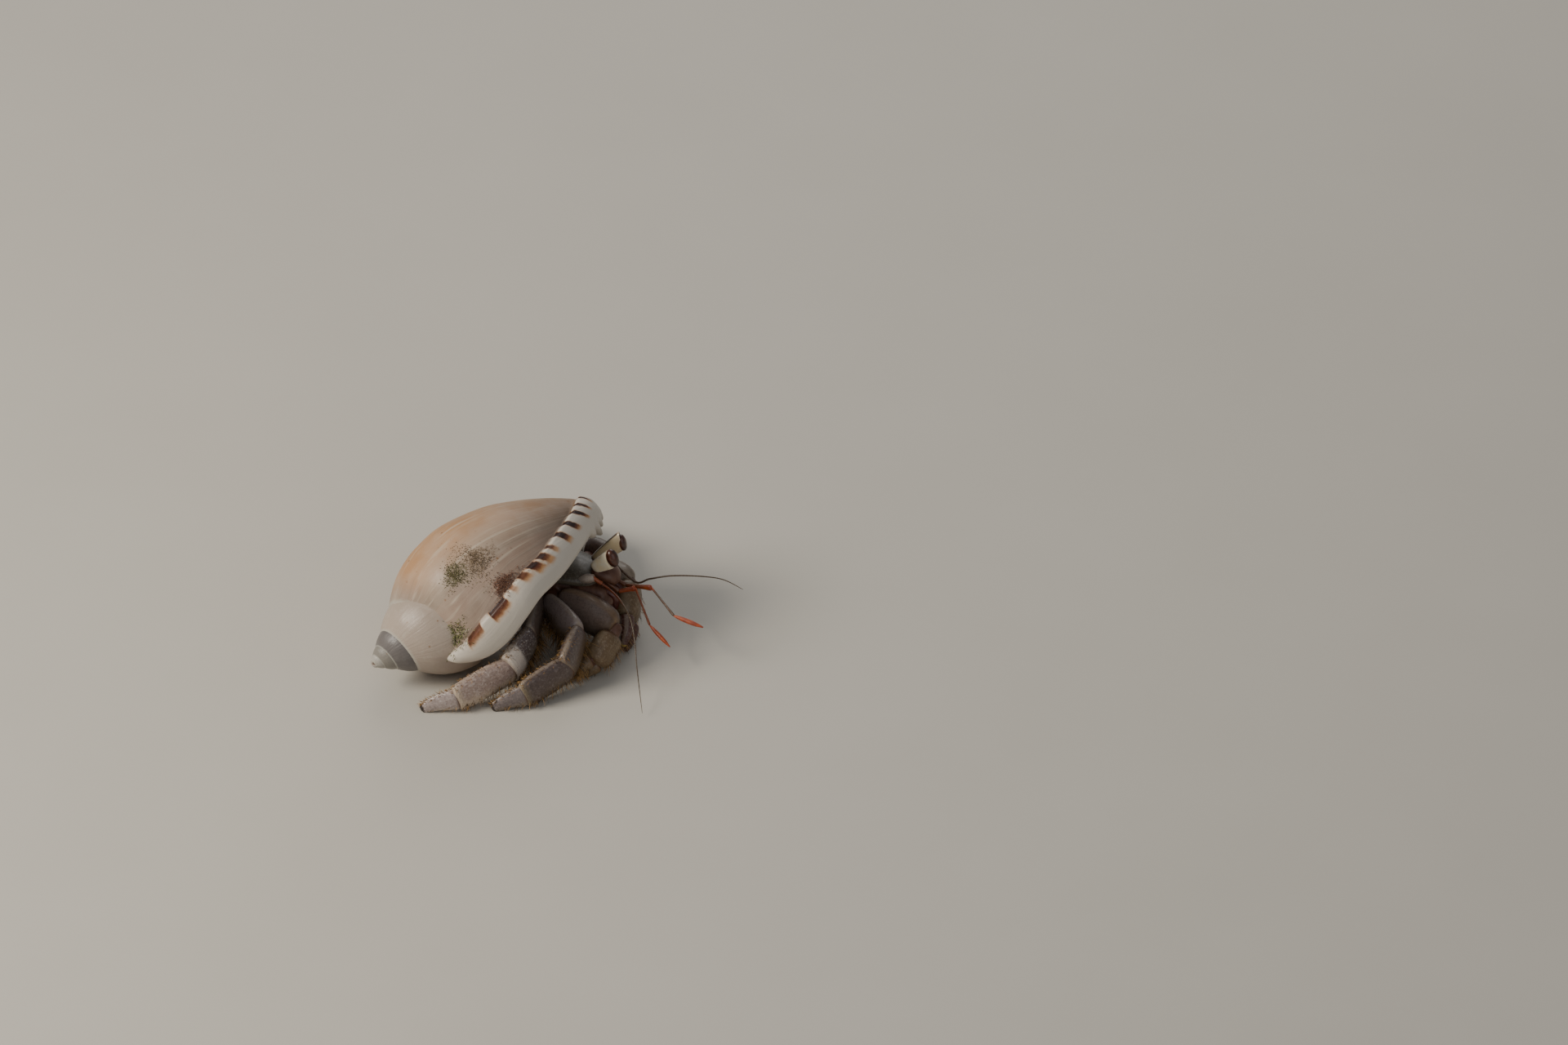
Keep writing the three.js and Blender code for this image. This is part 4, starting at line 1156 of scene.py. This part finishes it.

# The front leg's copy: carpus, propodus and dactyl darker as painted shade, the merus's upper side paler as
# painted light.
front_plates = {
    "merus": plate_finish("lilac_merus", (0.27, 0.215, 0.205), (0.14, 0.095, 0.055), split=0.2,
                          rough=(0.24, 0.40), flecks=0.12),
    "carpus": plate_finish("brown_carpus", (0.125, 0.090, 0.078), (0.12, 0.078, 0.045), split=0.2,
                           flecks=0.2),
    "propodus": plate_finish("shaded_propodus", (0.092, 0.060, 0.052), (0.105, 0.068, 0.038), split=-0.4,
                             end=(0.22, 0.17, 0.10), fleck=(0.30, 0.25, 0.23), flecks=0.35),
    "dactyl": plate_finish("shaded_dactyl", (0.17, 0.135, 0.13), (0.19, 0.145, 0.10), split=-0.4,
                           tip=(0.02, 0.01, 0.008), fleck=(0.34, 0.29, 0.26), flecks=0.35),
}
# The hind leg's copy: the merus darker as painted shade beside the shell; the carpus's far half, the propodus
# and the dactyl paler, partly their own pale granules and partly painted sunlight.
hind_plates = {
    "merus": plate_finish("shaded_merus", (0.125, 0.088, 0.068), (0.085, 0.052, 0.03), split=0.2,
                          rough=(0.26, 0.42), flecks=0.1),
    "carpus": plate_finish("pale_edged_carpus", (0.145, 0.108, 0.10), (0.20, 0.155, 0.12), split=0.1,
                           end=(0.88, 0.77, 0.66), end_at=(0.58, 0.68), fleck=(0.80, 0.73, 0.66), flecks=0.5),
    "propodus": plate_finish("scaled_propodus", (0.39, 0.28, 0.238), (0.60, 0.47, 0.34), split=-0.30,
                             end=(0.62, 0.50, 0.37), fleck=(0.62, 0.53, 0.48), flecks=0.6, relief=0.06,
                             rough=(0.24, 0.46)),
    "dactyl": plate_finish("dark_tipped_dactyl", (0.38, 0.305, 0.285), (0.40, 0.32, 0.25), split=-0.6,
                           tip=(0.02, 0.01, 0.008), fleck=(0.55, 0.50, 0.47), flecks=0.5, rough=(0.26, 0.48)),
}
make_legs(front_plates, hind_plates)
make_chelipeds({
    # The palm's colours are darker than its own beige, partly as painted shade.
    "palm": plate_finish("beige_palm", (0.15, 0.09, 0.040), (0.185, 0.116, 0.050),
                         fleck=(0.36, 0.30, 0.22), flecks=0.35,
                         rim=(0.24, 0.18, 0.11), tint=(0.085, 0.024, 0.014)),
    "finger": plate_finish("dark_finger", (0.085, 0.024, 0.014), (0.11, 0.035, 0.02), tip=(0.45, 0.30, 0.06)),
    # The dome's colours are darker than its own lilac-brown, partly as painted shade.
    "dome": plate_finish("lilac_dome", (0.18, 0.13, 0.108), (0.15, 0.10, 0.065),
                         rim=(0.24, 0.14, 0.06), flecks=0.1,
                         end=(0.085, 0.047, 0.026), end_at=(0.68, 0.95),
                         rough=(0.34, 0.5)),
    "russet_carpus": plate_finish("russet_carpus", (0.17, 0.125, 0.085), (0.13, 0.07, 0.045), flecks=0.1),
    "olive": plate_finish("olive_merus", (0.10, 0.06, 0.045), (0.12, 0.05, 0.035),
                          rim=(0.19, 0.15, 0.11), flecks=0.1),
})
make_shield(plate_finish("mottled_shield", (0.085, 0.070, 0.048), (0.15, 0.12, 0.08), split=0.1,
                         rim=(0.12, 0.10, 0.07), size=1.6, flecks=0.2))
make_eyes(eyestalk_finish(), cornea_finish())
make_feelers({
    "feeler": feeler_finish(),
    "pale": plate_finish("pale_base", (0.50, 0.42, 0.35), (0.34, 0.26, 0.20),
                         rim=(0.10, 0.025, 0.015), size=1.0,
                         tint=(0.33, 0.075, 0.02)),
    "russet": plain_finish("russet_jaw", (0.12, 0.028, 0.018), (0.07, 0.016, 0.01), 0.9, 0.3, coat=0.3),
    "leg": front_plates["carpus"],
})
make_soft_body(plain_finish("soft_skin", (0.14, 0.062, 0.034), (0.085, 0.030, 0.017), 1.2, 0.4, coat=0.1))
# Bristles from dark brown to gold by their tone: the setae's own colours, with the gold partly painted
# glints.
dress(make_spikes("bristles", bristle_roots, 0.035, 0.25),
      spike_finish("golden_bristle", (0.085, 0.038, 0.012), (0.60, 0.34, 0.11)), "leg")
make_algae({
    "brown_algae": spike_finish("brown_algae", (0.17, 0.115, 0.07), (0.42, 0.32, 0.21), 0.8, 0.0),
    "olive_algae": spike_finish("olive_algae", (0.12, 0.10, 0.04), (0.36, 0.31, 0.16), 0.8, 0.0),
    "red_algae": spike_finish("red_algae", (0.16, 0.07, 0.045), (0.40, 0.22, 0.135), 0.8, 0.0),
    "green_algae": spike_finish("green_algae", (0.085, 0.09, 0.025), (0.32, 0.33, 0.13), 0.8, 0.0),
})
